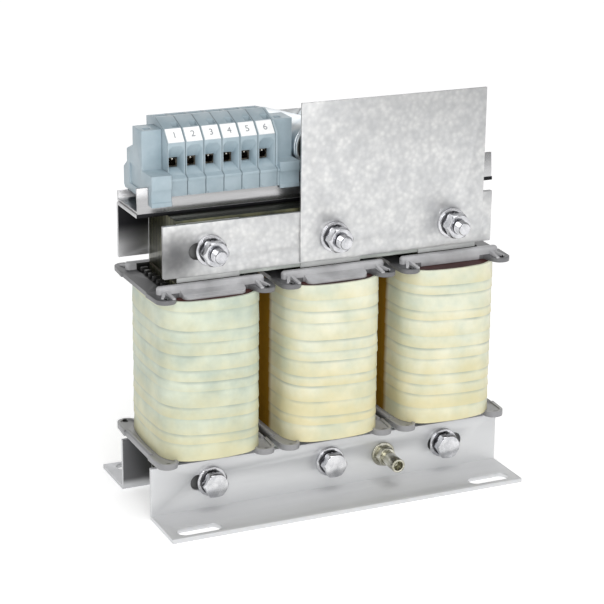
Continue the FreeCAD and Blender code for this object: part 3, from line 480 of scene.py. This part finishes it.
@dataclass(frozen=True)
class WovenTape(Finish):
    """Glass tape soaked in resin: woven, banded, in golden painted shadow where two coils face each
    other.
    """

    thread_mm: float = 1.1
    thread_detail: float = 3.0
    thread_strength: float = 0.35
    thread_depth_mm: float = 0.08
    resin: str = "#D9C88A"
    resin_most: float = 0.55
    resin_range: Pair = (0.7, 1.5)
    pool_mm: float = 16.0
    pool_detail: float = 5.0
    pool_roughness: float = 0.6
    pool_share: float = 1.2
    band_share: float = 0.5
    fall_share: float = 0.45
    fall_mm: Pair = (35.0, 90.0)
    # The line at each tape edge, with painted shade fading below it
    seam: str = "#98A29A"
    seam_most: float = 0.65
    # Painted shadow, golden with resin, on the sides where two coils face each other
    shadow_gold: str = "#967224"
    gloss_level: float = 0.25
    gap_side_mm: Pair = (9.5, 8.0)
    gap_front_mm: Pair = (-9.0, -5.0)
    gap_rear_mm: Pair = (30.0, 22.0)

    def detail(self, nodes: Surface) -> None:
        """Link the resin, the seams with their painted shade, the golden painted shadow in the gaps
        and the weave.
        """
        place = nodes.place()
        gap = self.between_coils(nodes, place)
        seams = nodes.remap(nodes.attribute("seam"), high=self.seam_most)
        nodes.drive("Specular IOR Level", nodes.remap(gap, low=self.gloss_level, high=0.0))
        nodes.tint(self.soaked(nodes, place), self.resin)
        nodes.tint(seams, self.seam)
        nodes.tint(gap, self.shadow_gold)
        threads = nodes.grains(place, self.thread_mm, self.thread_detail)
        nodes.relief(threads, self.thread_strength, self.thread_depth_mm)

    def soaked(self, nodes: Surface, place: Socket) -> Socket:
        """Add how much resin gathered: more at the bottom and in some bands.

        Args:
            nodes: The material's nodes.
            place: The piece's own coordinates.

        Returns:
            The amount, from 0 to about a half.
        """
        low, high = (v * MM for v in self.fall_mm)
        fall = nodes.remap(nodes.axes(place)[2], low, high, self.fall_share, 0.0)
        band = nodes.attribute("band")
        uneven = nodes.maths("MULTIPLY_ADD", band, self.band_share, fall)
        pool = nodes.grains(place, self.pool_mm, self.pool_detail, self.pool_roughness)
        gathered = nodes.maths("MULTIPLY_ADD", pool, self.pool_share, uneven)
        return nodes.remap(gathered, *self.resin_range, high=self.resin_most)

    def between_coils(self, nodes: Surface, place: Socket) -> Socket:
        """Add the mask of the painted shadow over the sides of the coils that face another coil.

        Args:
            nodes: The material's nodes.
            place: The piece's own coordinates.

        Returns:
            The mask, from 0 to 1.
        """
        x, y, _ = nodes.axes(place)
        off = nodes.maths("SUBTRACT", nodes.maths("ABSOLUTE", x), LIMB_PITCH_MM / 2 * MM)
        far, near = (v * MM for v in self.gap_side_mm)
        mask = nodes.remap(nodes.maths("ABSOLUTE", off), far, near)
        for start, end in (self.gap_front_mm, self.gap_rear_mm):
            mask = nodes.maths("MULTIPLY", mask, nodes.remap(y, start * MM, end * MM))
        return mask


# Rolled sheet with a thin zinc coat: satin, with faint streaks along the sheet
FOOT_ZINC = DullTop("satin_zinc_on_rolled_steel", "foot_steel", "#CDCED0", "#DFE0E1", 0.75, 0.44,
                    0.04, patch_mm=40.0, grit_mm=0.7, grit_depth_mm=0.006, grain=Grain.ALONG_X)
# The same on the rear bracket, with painted shade on the web, which lies in the shade of the coils
REAR_ZINC = ShadedSheet("shaded_zinc_on_rolled_steel", "foot_steel", "#BEBFC1", "#D2D3D5", 1.0,
                        0.44, 0.04, patch_mm=40.0, grit_mm=0.7, grit_depth_mm=0.006,
                        grain=Grain.ALONG_X, shade="#3E3E40", low_mm=2.6, high_mm=7.0)
# Hot dipped sheet: pale, with soft mottling that scatters the light, and a spot of painted shade
PLATE_ZINC = SpangledZinc("spangled_zinc_on_sheet_steel", "galvanised_sheet", "#CDCECF",
                          "#E6E6E5", 1.0, 0.44, 0.06, patch_mm=7.0, grit_mm=0.8)
# Cold rolled sheet left bright: shiny, with long streaks
BRIGHT_SHEET = Finish("bright_rolled_steel", "bright_sheet", "#A9A9AA", "#D0D0D1", 1.0, 0.24,
                      0.07, patch_mm=14.0, grit_mm=0.8, grit_depth_mm=0.01, grain=Grain.ALONG_X)
# The same sheet on the shelf, with painted shade on its leg, darker towards the bend
SHELF_SHEET = ShadedSheet("shaded_rolled_steel", "bright_sheet", "#BEBEBF", "#DADADB", 1.0, 0.44,
                          0.06, patch_mm=14.0, grit_mm=0.8, grit_depth_mm=0.01,
                          grain=Grain.ALONG_X, shade="#29292B", high_mm=157.0, most=1.0)
# Electrical sheets under a green-gold dipping varnish, with painted light low on the outer sheets
# and painted shade on the tops
CORE = Laminations("varnished_electrical_sheets", "core_varnish", "#3F4136", "#6B6A4E", 0.75,
                   0.3, 0.08, patch_mm=16.0, grit_mm=0.9)
# Pressed board spacer
BOARD = Finish("pressed_board", "spacer_board", "#2A2418", "#3A3222", 0.0, 0.7, patch_mm=6.0)
# Moulded light grey plastic strips, with painted shade where they lie behind the clamp plate
PACKING = ShadedSheet("moulded_light_grey_polyamide", "packing_grey", "#C2C4C3", "#DADBDA", 0.0,
                      0.4, ior=1.53, patch_mm=20.0, shade="#2E2E2F", low_mm=137.4, high_mm=138.4)
# The same strips below, seen only through the slots and so in painted shade on all their front
# faces
LOW_PACKING = replace(PACKING, name="shaded_light_grey_polyamide", low_mm=-2.0, high_mm=-1.0)
# Glass filled polyamide, moulded: mid grey, satin, faintly grained, with painted shade on the
# flanges and painted shadow in the wells and holes
FORMER = ShadedMoulding("glass_filled_grey_polyamide", "former_grey", "#A6A6A8", "#BEBEC0", 0.0, 0.36,
                  0.06, 1.53, patch_mm=12.0, grit_mm=0.9, grit_depth_mm=0.02)
# Enamelled copper wire: dark red-brown, satin
WIRE = Finish("enamelled_copper_wire", "winding_copper", "#36130F", "#4E1F18", 0.0, 0.5,
              patch_mm=5.0, grit_mm=1.6, grit_depth_mm=0.2, grain=Grain.ALONG_X)
# Half lapped woven tape, pale green-white where dry and yellow where soaked
TAPE = WovenTape("resin_soaked_glass_tape", "glass_tape", "#CBD2BF", "#E4E4CE", 0.0, 0.42,
                 0.08, 1.52, patch_mm=18.0, grit_mm=1.0, contrast=0.3)
# The same tape on the left coil, drier and so greyer
DRY_TAPE = replace(TAPE, name="dry_glass_tape", dark="#B7C2B3", light="#D3DAC7",
                   resin="#D6C994")
# Moulded blue-grey polyamide of the terminal row
TERMINAL = ModuleRow("moulded_blue_grey_polyamide", "terminal_blue_grey", "#9BADB6",
                     "#AABAC2", 0.0, 0.36, 0.05, 1.53, patch_mm=10.0, grit_mm=0.6,
                     grit_depth_mm=0.008)
# Smooth white marker strip
MARKER = Finish("smooth_white_polycarbonate", "marker_white", "#F4F5F5", "#FCFCFC", 0.0, 0.25,
                0.03, 1.58, patch_mm=6.0, grit_depth_mm=0.004)
# Plated steel cage and screw inside each terminal
CLAMP = Finish("nickel_plated_steel", "clamp_metal", "#8E8C86", "#C9C7C0", 1.0, 0.22,
               patch_mm=3.0, grit_mm=0.5)
# The cages deep in the housings, which hardly any light reaches: painted shade makes them near
# black
CAGE = Finish("shaded_plated_steel", "clamp_metal", "#15120E", "#6E675C", 1.0, 0.3,
              patch_mm=2.2, grit_mm=0.5, contrast=0.2)
# Spring steel washers in painted shade, dark for the shadow they sit in between washer and nut
SPRING = Finish("shaded_spring_steel", "bolt_zinc", "#232325", "#4A4A4E", 1.0, 0.3, 0.06,
                patch_mm=4.0, grit_mm=0.6, grit_depth_mm=0.004)
# Drawn can: bright, with fine lines round it
CAN = Finish("drawn_aluminium", "can_aluminium", "#D8E0E6", "#F0F4F6", 1.0, 0.3, 0.04,
             patch_mm=8.0, grit_mm=0.5, grit_depth_mm=0.01, grain=Grain.ALONG_X)
# Moulded black disc at the capacitor's front
DISC = Finish("moulded_black_phenolic", "disc_black", "#101011", "#1C1C1D", 0.0, 0.45,
              patch_mm=5.0)
# Tinned brass tab
TAB = Finish("tinned_brass", "tab_tin", "#B4B2A8", "#D2D0C6", 1.0, 0.3, patch_mm=3.0)
# Bright zinc on bolts: turned, so smooth and shiny
BOLT = Finish("bright_zinc_plated_steel", "bolt_zinc", "#B4B5B9", "#DEDEE1", 1.0, 0.2, 0.04,
              patch_mm=5.0, grit_mm=0.6, grit_depth_mm=0.004)
# Printed numbers on the marker tags
INK = Finish("printed_grey_ink", "marker_white", "#7C8186", "#8A8F94", 0.0, 0.5, patch_mm=3.0)
# Yellow chromated zinc, worn to a greyish gold
EARTH = Finish("yellow_chromated_zinc", "earth_yellow", "#9C9A88", "#D6D4C9", 1.0, 0.25, 0.04,
               patch_mm=4.0, grit_mm=0.5, grit_depth_mm=0.01)


def put(piece: Piece, finish: Finish, *nodes: str) -> None:
    """Dress a new piece, let it ride on the frame and stand for CAD nodes.

    Args:
        piece: The finished piece.
        finish: Its surface.
        nodes: The CAD nodes that it replaces.
    """
    piece.data.materials.clear()
    piece.data.materials.append(finish.material())
    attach(piece, ROOT)
    if nodes:
        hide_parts(*nodes)
    log.info("piece %s", piece.name)


def keep(node: str, finish: Finish) -> None:
    """Give a CAD node that stays in view its finish.

    Args:
        node: The node's name.
        finish: Its surface.
    """
    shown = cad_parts[node]
    shown.data.materials.clear()
    shown.data.materials.append(finish.material())
    log.info("node %s", node)


def show(name: str, data: bpy.types.ID) -> Piece:
    """Add an object to the scene, at the origin.

    Args:
        name: The object's name.
        data: Its mesh, curve, light or camera.

    Returns:
        The new object.
    """
    made = bpy.data.objects.new(name, data)
    bpy.context.scene.collection.objects.link(made)
    return made


def object_from(name: str, made: Shell, smooth_deg: float = 35.0) -> Piece:
    """Turn a bmesh into an object at the origin, smooth up to an angle.

    Args:
        name: The object's name.
        made: The bmesh, which is freed.
        smooth_deg: Edges sharper than this stay sharp.

    Returns:
        The new object, linked to the scene.
    """
    mesh = bpy.data.meshes.new(name)
    made.to_mesh(mesh)
    made.free()
    mesh.shade_smooth()
    mesh.set_sharp_from_angle(angle=math.radians(smooth_deg))
    return show(name, mesh)


def softened(node: str, width_mm: float, flat_deg: float = 0.6, sharp_deg: float = 28.0,
             steps: int = 2) -> Shell:
    """Copy a CAD node's solid and round its sharp edges.

    Args:
        node: The node's name.
        width_mm: How far each edge is cut back.
        flat_deg: Faces that meet at less than this are joined first.
        sharp_deg: The least angle between two faces that gets rounded.
        steps: How many faces each rounded edge has.

    Returns:
        The rounded solid.
    """
    made = bmesh.new()
    made.from_mesh(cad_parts[node].data)
    bmesh.ops.remove_doubles(made, verts=made.verts, dist=1e-6)
    bmesh.ops.dissolve_limit(made, angle_limit=math.radians(flat_deg), verts=made.verts,
                             edges=made.edges)
    edges = [e for e in made.edges
             if e.is_manifold and e.calc_face_angle(0.0) > math.radians(sharp_deg)]
    bmesh.ops.bevel(made, geom=edges, offset=width_mm * MM, offset_type="OFFSET", segments=steps,
                    profile=0.5, affect="EDGES", clamp_overlap=True, material=-1)
    return made


def soften(node: str, ending: str, width_mm: float, finish: Finish) -> None:
    """Put a copy with rounded edges in the place of a CAD node.

    Args:
        node: The node's name.
        ending: The word that the piece's name ends in.
        width_mm: How far each edge is cut back.
        finish: The piece's surface.
    """
    put(object_from(f"{node}_{ending}", softened(node, width_mm)), finish, node)


@dataclass
class Studio:
    """The pale floor, the soft lights and the camera."""

    camera_mm: Triple = (-457.0, -982.6, 461.9)
    azimuth_deg: float = -24.6
    elevation_deg: float = 18.22
    roll_deg: float = 0.63
    lens_mm: float = 121.12
    sensor_mm: float = 36.0
    clip_m: Pair = (0.05, 50.0)
    floor_half_m: float = 9.0
    floor_drop_m: float = 0.0003
    floor_shade: str = "#F4F4F4"
    floor_roughness: float = 0.9
    floor_gloss: float = 0.1
    floor_glow: float = 0.5
    wall_light: float = 0.75
    ceiling_light: float = 0.12
    aim_m: Triple = (0, 0, 0.1)
    soft_boxes: tuple = (("softbox_front", (-0.7, -1.9, 0.9), (1.2, 1.0), 16),
                         ("softbox_over", (0.1, -0.7, 1.7), (1.2, 0.9), 9),
                         ("softbox_back", (0.5, 1.6, 0.9), (1.4, 1.0), 4))

    def build(self) -> None:
        """Make the floor, lights, room and camera."""
        self.build_floor()
        self.build_lights()
        self.build_room()
        self.build_camera()

    def build_floor(self) -> None:
        """Make a plain pale floor just under the feet."""
        made = bmesh.new()
        bmesh.ops.create_grid(made, x_segments=1, y_segments=1, size=self.floor_half_m)
        bmesh.ops.translate(made, verts=made.verts, vec=(0, 0, -self.floor_drop_m))
        floor = object_from("studio_floor", made)
        paint = bpy.data.materials.new("matte_white_floor")
        paint.use_nodes = True
        shader = paint.node_tree.nodes["Principled BSDF"]
        for name, value in (("Base Color", linear(self.floor_shade)),
                            ("Roughness", self.floor_roughness),
                            ("Specular IOR Level", self.floor_gloss),
                            ("Emission Color", (1, 1, 1, 1)),
                            ("Emission Strength", self.floor_glow)):
            shader.inputs[name].default_value = value
        floor.data.materials.append(paint)

    def build_lights(self) -> None:
        """Hang the soft boxes, each turned towards the object."""
        for name, place, size, power in self.soft_boxes:
            data = bpy.data.lights.new(name, "AREA")
            data.shape = "RECTANGLE"
            data.size, data.size_y = size
            data.energy = power
            lamp = show(name, data)
            lamp.location = place
            way = Vector(self.aim_m) - Vector(place)
            lamp.rotation_euler = way.to_track_quat("-Z", "Y").to_euler()

    def build_room(self) -> None:
        """Set the even light of the room, brighter at its walls than above."""
        world = bpy.data.worlds.new("studio_room")
        bpy.context.scene.world = world
        world.use_nodes = True
        tree = world.node_tree
        way = add_node(tree, "ShaderNodeTexCoord")
        parts = add_node(tree, "ShaderNodeSeparateXYZ", None, {"Vector": way.outputs["Generated"]})
        height = add_node(tree, "ShaderNodeMapRange",
                          {"To Min": self.wall_light, "To Max": self.ceiling_light},
                          {"Value": parts.outputs["Z"]})
        backdrop = tree.nodes["Background"]
        backdrop.inputs["Color"].default_value = (1, 1, 1, 1)
        tree.links.new(height.outputs["Result"], backdrop.inputs["Strength"])
        bpy.context.scene.view_settings.view_transform = "Standard"

    def build_camera(self) -> None:
        """Set the camera where the photograph was taken from."""
        az, el, roll = (math.radians(a) for a in
                        (self.azimuth_deg, self.elevation_deg, self.roll_deg))
        back = Vector((math.sin(az) * math.cos(el), -math.cos(az) * math.cos(el), math.sin(el)))
        right = Vector((math.cos(az), math.sin(az), 0))
        up = back.cross(right)
        turned_right = right * math.cos(roll) + up * math.sin(roll)
        turned_up = up * math.cos(roll) - right * math.sin(roll)
        data = bpy.data.cameras.new("camera")
        data.lens = self.lens_mm
        data.sensor_width = self.sensor_mm
        data.clip_start, data.clip_end = self.clip_m
        camera = show("camera", data)
        turn = Matrix((turned_right, turned_up, back)).transposed().to_4x4()
        camera.matrix_world = Matrix.Translation(Vector(self.camera_mm) * MM) @ turn
        bpy.context.scene.camera = camera


@dataclass
class SheetWork:
    """The bent and flat sheet parts."""

    edge_mm: float = 0.25
    parts: tuple[tuple[str, Finish], ...] = (
        ("front_foot_bracket", FOOT_ZINC), ("rear_foot_bracket", REAR_ZINC),
        ("front_clamp_plate", PLATE_ZINC), ("cover_plate", PLATE_ZINC),
        ("shelf_bracket", SHELF_SHEET), ("terminal_rail", BRIGHT_SHEET),
        ("capacitor_tray", PLATE_ZINC))

    def build(self) -> None:
        """Round the edges of each sheet part and dress it."""
        for node, finish in self.parts:
            soften(node, "sheet", self.edge_mm, finish)


@dataclass
class Core:
    """The laminated yokes and limbs, their spacers and packing strips."""

    edge_mm: float = 0.2

    def build(self) -> None:
        """Dress the core and its packing."""
        for node in ("lower_yoke", "upper_yoke", "core_limbs"):
            soften(node, "stack", self.edge_mm, CORE)
        keep("gap_spacers", BOARD)
        soften("lower_packing_strips", "moulded", self.edge_mm, LOW_PACKING)
        soften("upper_packing_strips", "moulded", self.edge_mm, PACKING)


@dataclass
class Coil:
    """One coil: its former, winding and half lapped tape."""

    letter: str
    centre_mm: float
    seed: int
    finish: WovenTape
    edge_mm: float = 0.3
    half_x_mm: float = 29.7
    half_y_mm: float = 37.1
    corner_mm: float = 17.3
    corner_steps: int = 14
    face_mm: float = 90.3
    front_side_mm: float = 300.0
    rear_side_mm: float = 120.3
    slope: float = -0.045
    slope_end_mm: float = 12.0
    bottom_mm: float = 36.6
    top_mm: float = 127.1
    wall_mm: float = 1.4
    strip_mm: float = 4.0
    lap_mm: float = 7.4
    lap_drift: float = 0.7
    least_band_mm: float = 0.01
    seam_patch_mm: float = 11.0
    seam_least: float = 0.1
    seam_base: Pair = (0.4, 0.75)
    seam_drift: float = 0.9
    band_fall: float = 1.1
    band_drift: float = 0.8
    cuts_mm: tuple[float, ...] = (-1.8, -0.7, -0.05, 0.1, 0.25, 1.2)
    # How far the seam's mark, a line with painted shade under it, reaches below and above the seam
    fade_mm: Pair = (1.8, 0.15)
    sunk_mm: float = 0.1
    step_mm: float = 0.35
    wave_mm: float = 0.25
    wave_patch_mm: Pair = (14.0, 9.0)
    smooth_deg: float = 50.0
    outline_tries: int = 30

    def build(self) -> None:
        """Build the coil's pieces and dress them."""
        former = f"coil_former_{self.letter}"
        put(object_from(f"former_{self.letter}_moulded", softened(former, self.edge_mm)),
            FORMER, former)
        keep(f"winding_{self.letter}", WIRE)
        put(self.wrapped_tape(), self.finish, f"coil_tape_{self.letter}")

    def seam_heights(self) -> list[float]:
        """Place the tape's seams, a little unevenly, from the bottom up.

        Here and below, the plain numbers inside a noise vector only set its draws apart.

        Returns:
            Heights in millimetres.
        """
        count = round((self.top_mm - self.bottom_mm) / self.lap_mm)
        pitch = (self.top_mm - self.bottom_mm) / count
        return [self.bottom_mm
                + pitch * (i + self.lap_drift * noise.noise(Vector((i * 1.7, self.seed, 0.3))))
                for i in range(1, count)]

    def wrapped_tape(self) -> Piece:
        """Wrap the tape: a rounded shell, stepped at each seam and slightly wavy.

        Returns:
            The tape, with its seams and bands as attributes.
        """
        made = bmesh.new()
        height = self.top_mm - self.bottom_mm
        middle = (self.top_mm + self.bottom_mm) / 2
        bmesh.ops.create_cube(made, size=1.0, matrix=Matrix.Diagonal(
            (2 * self.half_x_mm, 2 * self.half_y_mm, height, 1.0)))
        upright = [e for e in made.edges if abs(e.verts[0].co.z - e.verts[1].co.z) > height / 2]
        bmesh.ops.bevel(made, geom=upright, offset=self.corner_mm, offset_type="OFFSET",
                        segments=self.corner_steps, profile=0.5, affect="EDGES", material=-1)
        caps = [f for f in made.faces if abs(f.normal.z) > 0.9]
        bmesh.ops.delete(made, geom=caps, context="FACES_ONLY")
        self.slice_along(made, Vector((1, 0, 0)), self.half_x_mm - self.corner_mm)
        self.slice_along(made, Vector((0, 1, 0)), self.half_y_mm - self.corner_mm)
        seams = self.seam_heights()
        for seam in seams:
            for off in self.cuts_mm:
                self.cut_at(made, Vector((0, 0, seam + off - middle)), Vector((0, 0, 1)))
        self.lay_bands(made, seams, middle)
        bmesh.ops.solidify(made, geom=made.faces, thickness=self.wall_mm)
        bmesh.ops.scale(made, verts=made.verts, vec=(MM, MM, MM))
        bmesh.ops.translate(made, verts=made.verts, vec=(self.centre_mm * MM, 0, middle * MM))
        bmesh.ops.recalc_face_normals(made, faces=made.faces)
        return object_from(f"tape_{self.letter}_wrapped", made, self.smooth_deg)

    def lay_bands(self, made: Shell, seams: list[float], middle: float) -> None:
        """Move the shell's points to the wound shape and write the seams and bands to them.

        Args:
            made: The shell, in millimetres round its own middle.
            seams: The heights of the seams.
            middle: The height of the shell's middle.
        """
        seam_layer = made.verts.layers.float.new("seam")
        band_layer = made.verts.layers.float.new("band")
        made.normal_update()
        below, over = self.fade_mm
        moves = []
        for vert in made.verts:
            x, y, z = vert.co.x, vert.co.y, vert.co.z + middle
            moves.append(self.outline(vert.co) - vert.co.xy.to_3d()
                         + vert.normal * self.swell(vert.co, z, seams)
                         + Vector((0, 0, self.drop(x, z))))
            # Each point's seam value: the line at the seam, with painted shade fading below it
            near = min(range(len(seams)), key=lambda i: abs(z - seams[i]))
            along = noise.noise(Vector((x / self.seam_patch_mm, y / self.seam_patch_mm,
                                        near * 3.7 + self.seed)))
            strength = max(self.seam_least, self.seam_base[near % 2] + self.seam_drift * along)
            rise = z - seams[near]
            fade = 1.0 + rise / below if rise < 0 else 1.0 - rise / over
            vert[seam_layer] = strength * max(0.0, fade)
            band = sum(1 for seam in seams if z > seam)
            shift = noise.noise(Vector((band * 2.3, self.seed, 5.1)))
            vert[band_layer] = (self.band_fall - self.band_fall * self.lap_at(z, seams)
                                + self.band_drift * shift)
        for vert, move in zip(made.verts, moves):
            vert.co += move

    def outline(self, place: Vector) -> Vector:
        """Find where the coil's outline lies on the way to a point from the middle.

        Args:
            place: The point, from the coil's middle.

        Returns:
            The point of the outline: shallow arcs on four sides, tangent arcs at the corners.
        """
        way = Vector((abs(place.x), abs(place.y))).normalized()
        face = Vector((0, self.half_y_mm - self.face_mm))
        bend = self.front_side_mm if place.y < 0 else self.rear_side_mm
        side = Vector((self.half_x_mm - bend, 0))
        to_face, to_side = self.face_mm - self.corner_mm, bend - self.corner_mm
        line = side - face
        along = (to_face ** 2 - to_side ** 2 + line.length_squared) / (2 * line.length)
        aside = math.sqrt(to_face ** 2 - along ** 2)
        unit = line.normalized()
        corner = face + unit * along + Vector((unit.y, -unit.x)) * aside
        low, high = 0.0, self.half_x_mm + self.half_y_mm
        for _ in range(self.outline_tries):
            reach = (low + high) / 2
            point = way * reach
            if (corner - face).cross(point - face) > 0:
                off = (point - face).length - to_face
            elif (corner - side).cross(point - side) < 0:
                off = (point - side).length - to_side
            else:
                off = (point - corner).length
            low, high = (reach, high) if off < self.corner_mm else (low, reach)
        return Vector((math.copysign(way.x * low, place.x), math.copysign(way.y * low, place.y), 0))

    def drop(self, x: float, z: float) -> float:
        """Say how far the wrap slopes down at one point, less and less towards both ends.

        Args:
            x: The point's distance from the coil's middle, in millimetres.
            z: Its height in millimetres.

        Returns:
            Millimetres upwards, or downwards if less than nothing.
        """
        inside = min(z - self.bottom_mm, self.top_mm - z, self.slope_end_mm)
        return self.slope * x * max(0.0, inside) / self.slope_end_mm

    def swell(self, place: Vector, z: float, seams: list[float]) -> float:
        """Say how far the tape stands out at one point.

        Args:
            place: The point, from the coil's middle.
            z: Its height in millimetres.
            seams: The heights of the seams.

        Returns:
            Millimetres outwards, or inwards if less than nothing.
        """
        across, up = self.wave_patch_mm
        wave = noise.noise(Vector((place.x / across, place.y / across, z / up + self.seed * 7)))
        return self.step_mm * (0.5 - self.lap_at(z, seams)) + self.wave_mm * wave - self.sunk_mm

    def lap_at(self, z: float, seams: list[float]) -> float:
        """Say how far up its own band a height lies.

        Args:
            z: The height in millimetres.
            seams: The heights of the seams.

        Returns:
            0 at the band's lower seam, 1 at its upper one.
        """
        below = max([seam for seam in seams if seam <= z], default=self.bottom_mm)
        above = min([seam for seam in seams if seam > z], default=self.top_mm)
        return (z - below) / max(above - below, self.least_band_mm)

    def slice_along(self, made: Shell, way: Vector, reach: float) -> None:
        """Cut the flat sides into strips, so that they can be wavy.

        Args:
            made: The shell.
            way: The direction across the cuts.
            reach: How far from the middle the flat side goes.
        """
        count = math.ceil(2 * reach / self.strip_mm)
        for i in range(1, count):
            self.cut_at(made, way * (-reach + 2 * reach * i / count), way)

    @staticmethod
    def cut_at(made: Shell, place: Vector, normal: Vector) -> None:
        """Cut a line of edges where a plane meets the shell.

        Args:
            made: The shell.
            place: A point on the plane.
            normal: The plane's direction.
        """
        bmesh.ops.bisect_plane(made, geom=made.verts[:] + made.edges[:] + made.faces[:],
                               dist=1e-5, plane_co=place, plane_no=normal)


@dataclass
class TerminalRow:
    """The terminal blocks, their clamps and tags, the end plate and end brackets."""

    count: int = 6
    edge_mm: float = 0.2
    digit_mm: float = 5.2
    ink_mm: float = 0.02
    first_mm: float = -84.0
    pitch_mm: float = 10.4
    tag_low_mm: Pair = (-6.6, 206.2)
    tag_high_mm: Pair = (-1.0, 212.4)
    tag_sheet_mm: float = 0.5

    def build(self) -> None:
        """Build the row and dress it."""
        nodes = [f"terminal_housing_{i + 1}" for i in range(self.count)]
        for node in nodes + ["terminal_end_plate", "end_bracket_left", "end_bracket_right"]:
            soften(node, "moulded", self.edge_mm, TERMINAL)
        for node, finish in (("clamp_cages", CAGE), ("clamp_screws", CLAMP),
                             ("marker_tags", MARKER), ("rail_screws", BOLT)):
            keep(node, finish)
        for i in range(self.count):
            self.number(i)

    def number(self, index: int) -> None:
        """Print a plain number on one marker tag.

        Args:
            index: The tag's place in the row, from 0.
        """
        curve = bpy.data.curves.new(f"number_{index + 1}", "FONT")
        curve.body = str(index + 1)
        curve.size = self.digit_mm * MM
        curve.extrude = self.ink_mm * MM
        curve.align_x = curve.align_y = "CENTER"
        words = show(f"number_{index + 1}_curve", curve)
        bpy.context.view_layer.update()
        mesh = bpy.data.meshes.new_from_object(words)
        bpy.data.objects.remove(words)
        (low_y, low_z), (high_y, high_z) = self.tag_low_mm, self.tag_high_mm
        tilt = math.atan2(high_z - low_z, high_y - low_y)
        middle = Vector((self.first_mm + index * self.pitch_mm, (high_y + low_y) / 2,
                         (high_z + low_z) / 2))
        outward = Vector((0, -math.sin(tilt), math.cos(tilt)))
        place = (middle + outward * (self.tag_sheet_mm + self.ink_mm)) * MM
        mesh.transform(Matrix.Translation(place) @ Matrix.Rotation(tilt, 4, "X"))
        put(show(f"number_{index + 1}_printed", mesh), INK)


@dataclass
class Capacitors:
    """The three cans behind the cover plate, with their tabs and studs."""

    count: int = 3
    edge_mm: float = 0.3

    def build(self) -> None:
        """Dress the cans and what is on them."""
        for i in range(self.count):
            soften(f"capacitor_{i + 1}", "drawn", self.edge_mm, CAN)
        for node, finish in (("capacitor_discs", DISC), ("capacitor_tabs", TAB),
                             ("capacitor_washers", BOLT), ("capacitor_nuts", BOLT)):
            keep(node, finish)


@dataclass
class Fasteners:
    """The core bolts and the earth connection."""

    edge_mm: float = 0.2
    radius_mm: float = 4.0
    root_mm: float = 3.4
    pitch_mm: float = 1.25
    flank: float = 0.46
    crest_mm: float = 0.1
    play_mm: float = 0.1
    bury_mm: float = 0.15
    neck_mm: float = 0.2
    run_out_mm: float = 1.3
    shown_mm: float = 6.4
    turn_steps: int = 24
    bolt_xs_mm: Triple = (-LIMB_PITCH_MM, 0.0, LIMB_PITCH_MM)
    lower_mm: float = 18.25
    upper_mm: float = 150.75

    def build(self) -> None:
        """Round the bolts, nuts and washers and dress them."""
        for level, height_mm, outward in (("lower", self.lower_mm, 1.0),
                                          ("upper", self.upper_mm, -1.0)):
            node = f"{level}_bolts"
            made = softened(node, self.edge_mm)
            for x in self.bolt_xs_mm:
                self.cut_thread(made, Vector((x, 0, height_mm)) * MM, outward)
            put(object_from(f"{node}_plated", made), BOLT, node)
            for kind, finish in (("nuts", BOLT), ("washers", BOLT), ("spring_washers", SPRING)):
                soften(f"{level}_{kind}", "plated", self.edge_mm, finish)
        for node in ("earth_stud", "earth_nut", "earth_washer"):
            soften(node, "plated", self.edge_mm, EARTH)

    def cut_thread(self, made: Shell, axis: Vector, outward: float) -> None:
        """Turn the end of one shank down to its root and wind a thread round it.

        Args:
            made: The level's bolts.
            axis: A point on the shank's axis, which runs along Y.
            outward: The sign of Y towards the threaded end.
        """
        def radius(vert: bmesh.types.BMVert) -> float:
            """Measure how far a point lies from the axis."""
            return math.hypot(vert.co.x - axis.x, vert.co.z - axis.z)

        reach, root = (self.radius_mm + self.play_mm) * MM, self.root_mm * MM
        end = max(v.co.y * outward for v in made.verts if radius(v) < reach) * outward
        start = end - outward * self.shown_mm * MM
        geom = [f for f in made.faces if all(radius(v) < reach for v in f.verts)]
        geom += list({e for f in geom for e in f.edges}) + list({v for f in geom for v in f.verts})
        for off in (0.0, self.neck_mm):
            parts = [g for g in geom if g.is_valid]
            cut = bmesh.ops.bisect_plane(made, geom=parts, dist=1e-7,
                                         plane_co=(0, start + outward * off * MM, 0),
                                         plane_no=(0, 1, 0))
            geom = cut["geom"]
        for vert in made.verts:
            past = (vert.co.y - start) * outward > self.neck_mm / 2 * MM
            if past and root < radius(vert) < reach:
                scale = root / radius(vert)
                vert.co.x = axis.x + (vert.co.x - axis.x) * scale
                vert.co.z = axis.z + (vert.co.z - axis.z) * scale
        turns = int((self.shown_mm - self.run_out_mm) / self.pitch_mm)
        half, buried = self.pitch_mm * self.flank, self.root_mm - self.bury_mm
        shape = [(buried, -half), (self.radius_mm, -self.crest_mm),
                 (self.radius_mm, self.crest_mm), (buried, half)]
        base = start + outward * self.pitch_mm / 2 * MM
        corners = [made.verts.new((axis.x + r * MM, base + y * MM, axis.z)) for r, y in shape]
        profile = made.faces.new(corners)
        bmesh.ops.spin(made, geom=[profile] + list(profile.edges) + corners,
                       cent=axis, axis=(0, 1, 0),
                       dvec=(0, outward * self.pitch_mm * MM / self.turn_steps, 0),
                       angle=math.tau * turns, steps=self.turn_steps * turns, use_merge=False)


def main() -> None:
    """Build every sub-assembly in order."""
    logging.basicConfig(level=logging.INFO, format="%(name)s: %(message)s")
    Studio().build()
    SheetWork().build()
    Core().build()
    for letter, centre, seed, finish in (("u", -LIMB_PITCH_MM, 1, DRY_TAPE), ("v", 0.0, 2, TAPE),
                                         ("w", LIMB_PITCH_MM, 3, TAPE)):
        Coil(letter, centre, seed, finish).build()
    TerminalRow().build()
    Capacitors().build()
    Fasteners().build()


if __name__ == "__main__":
    main()
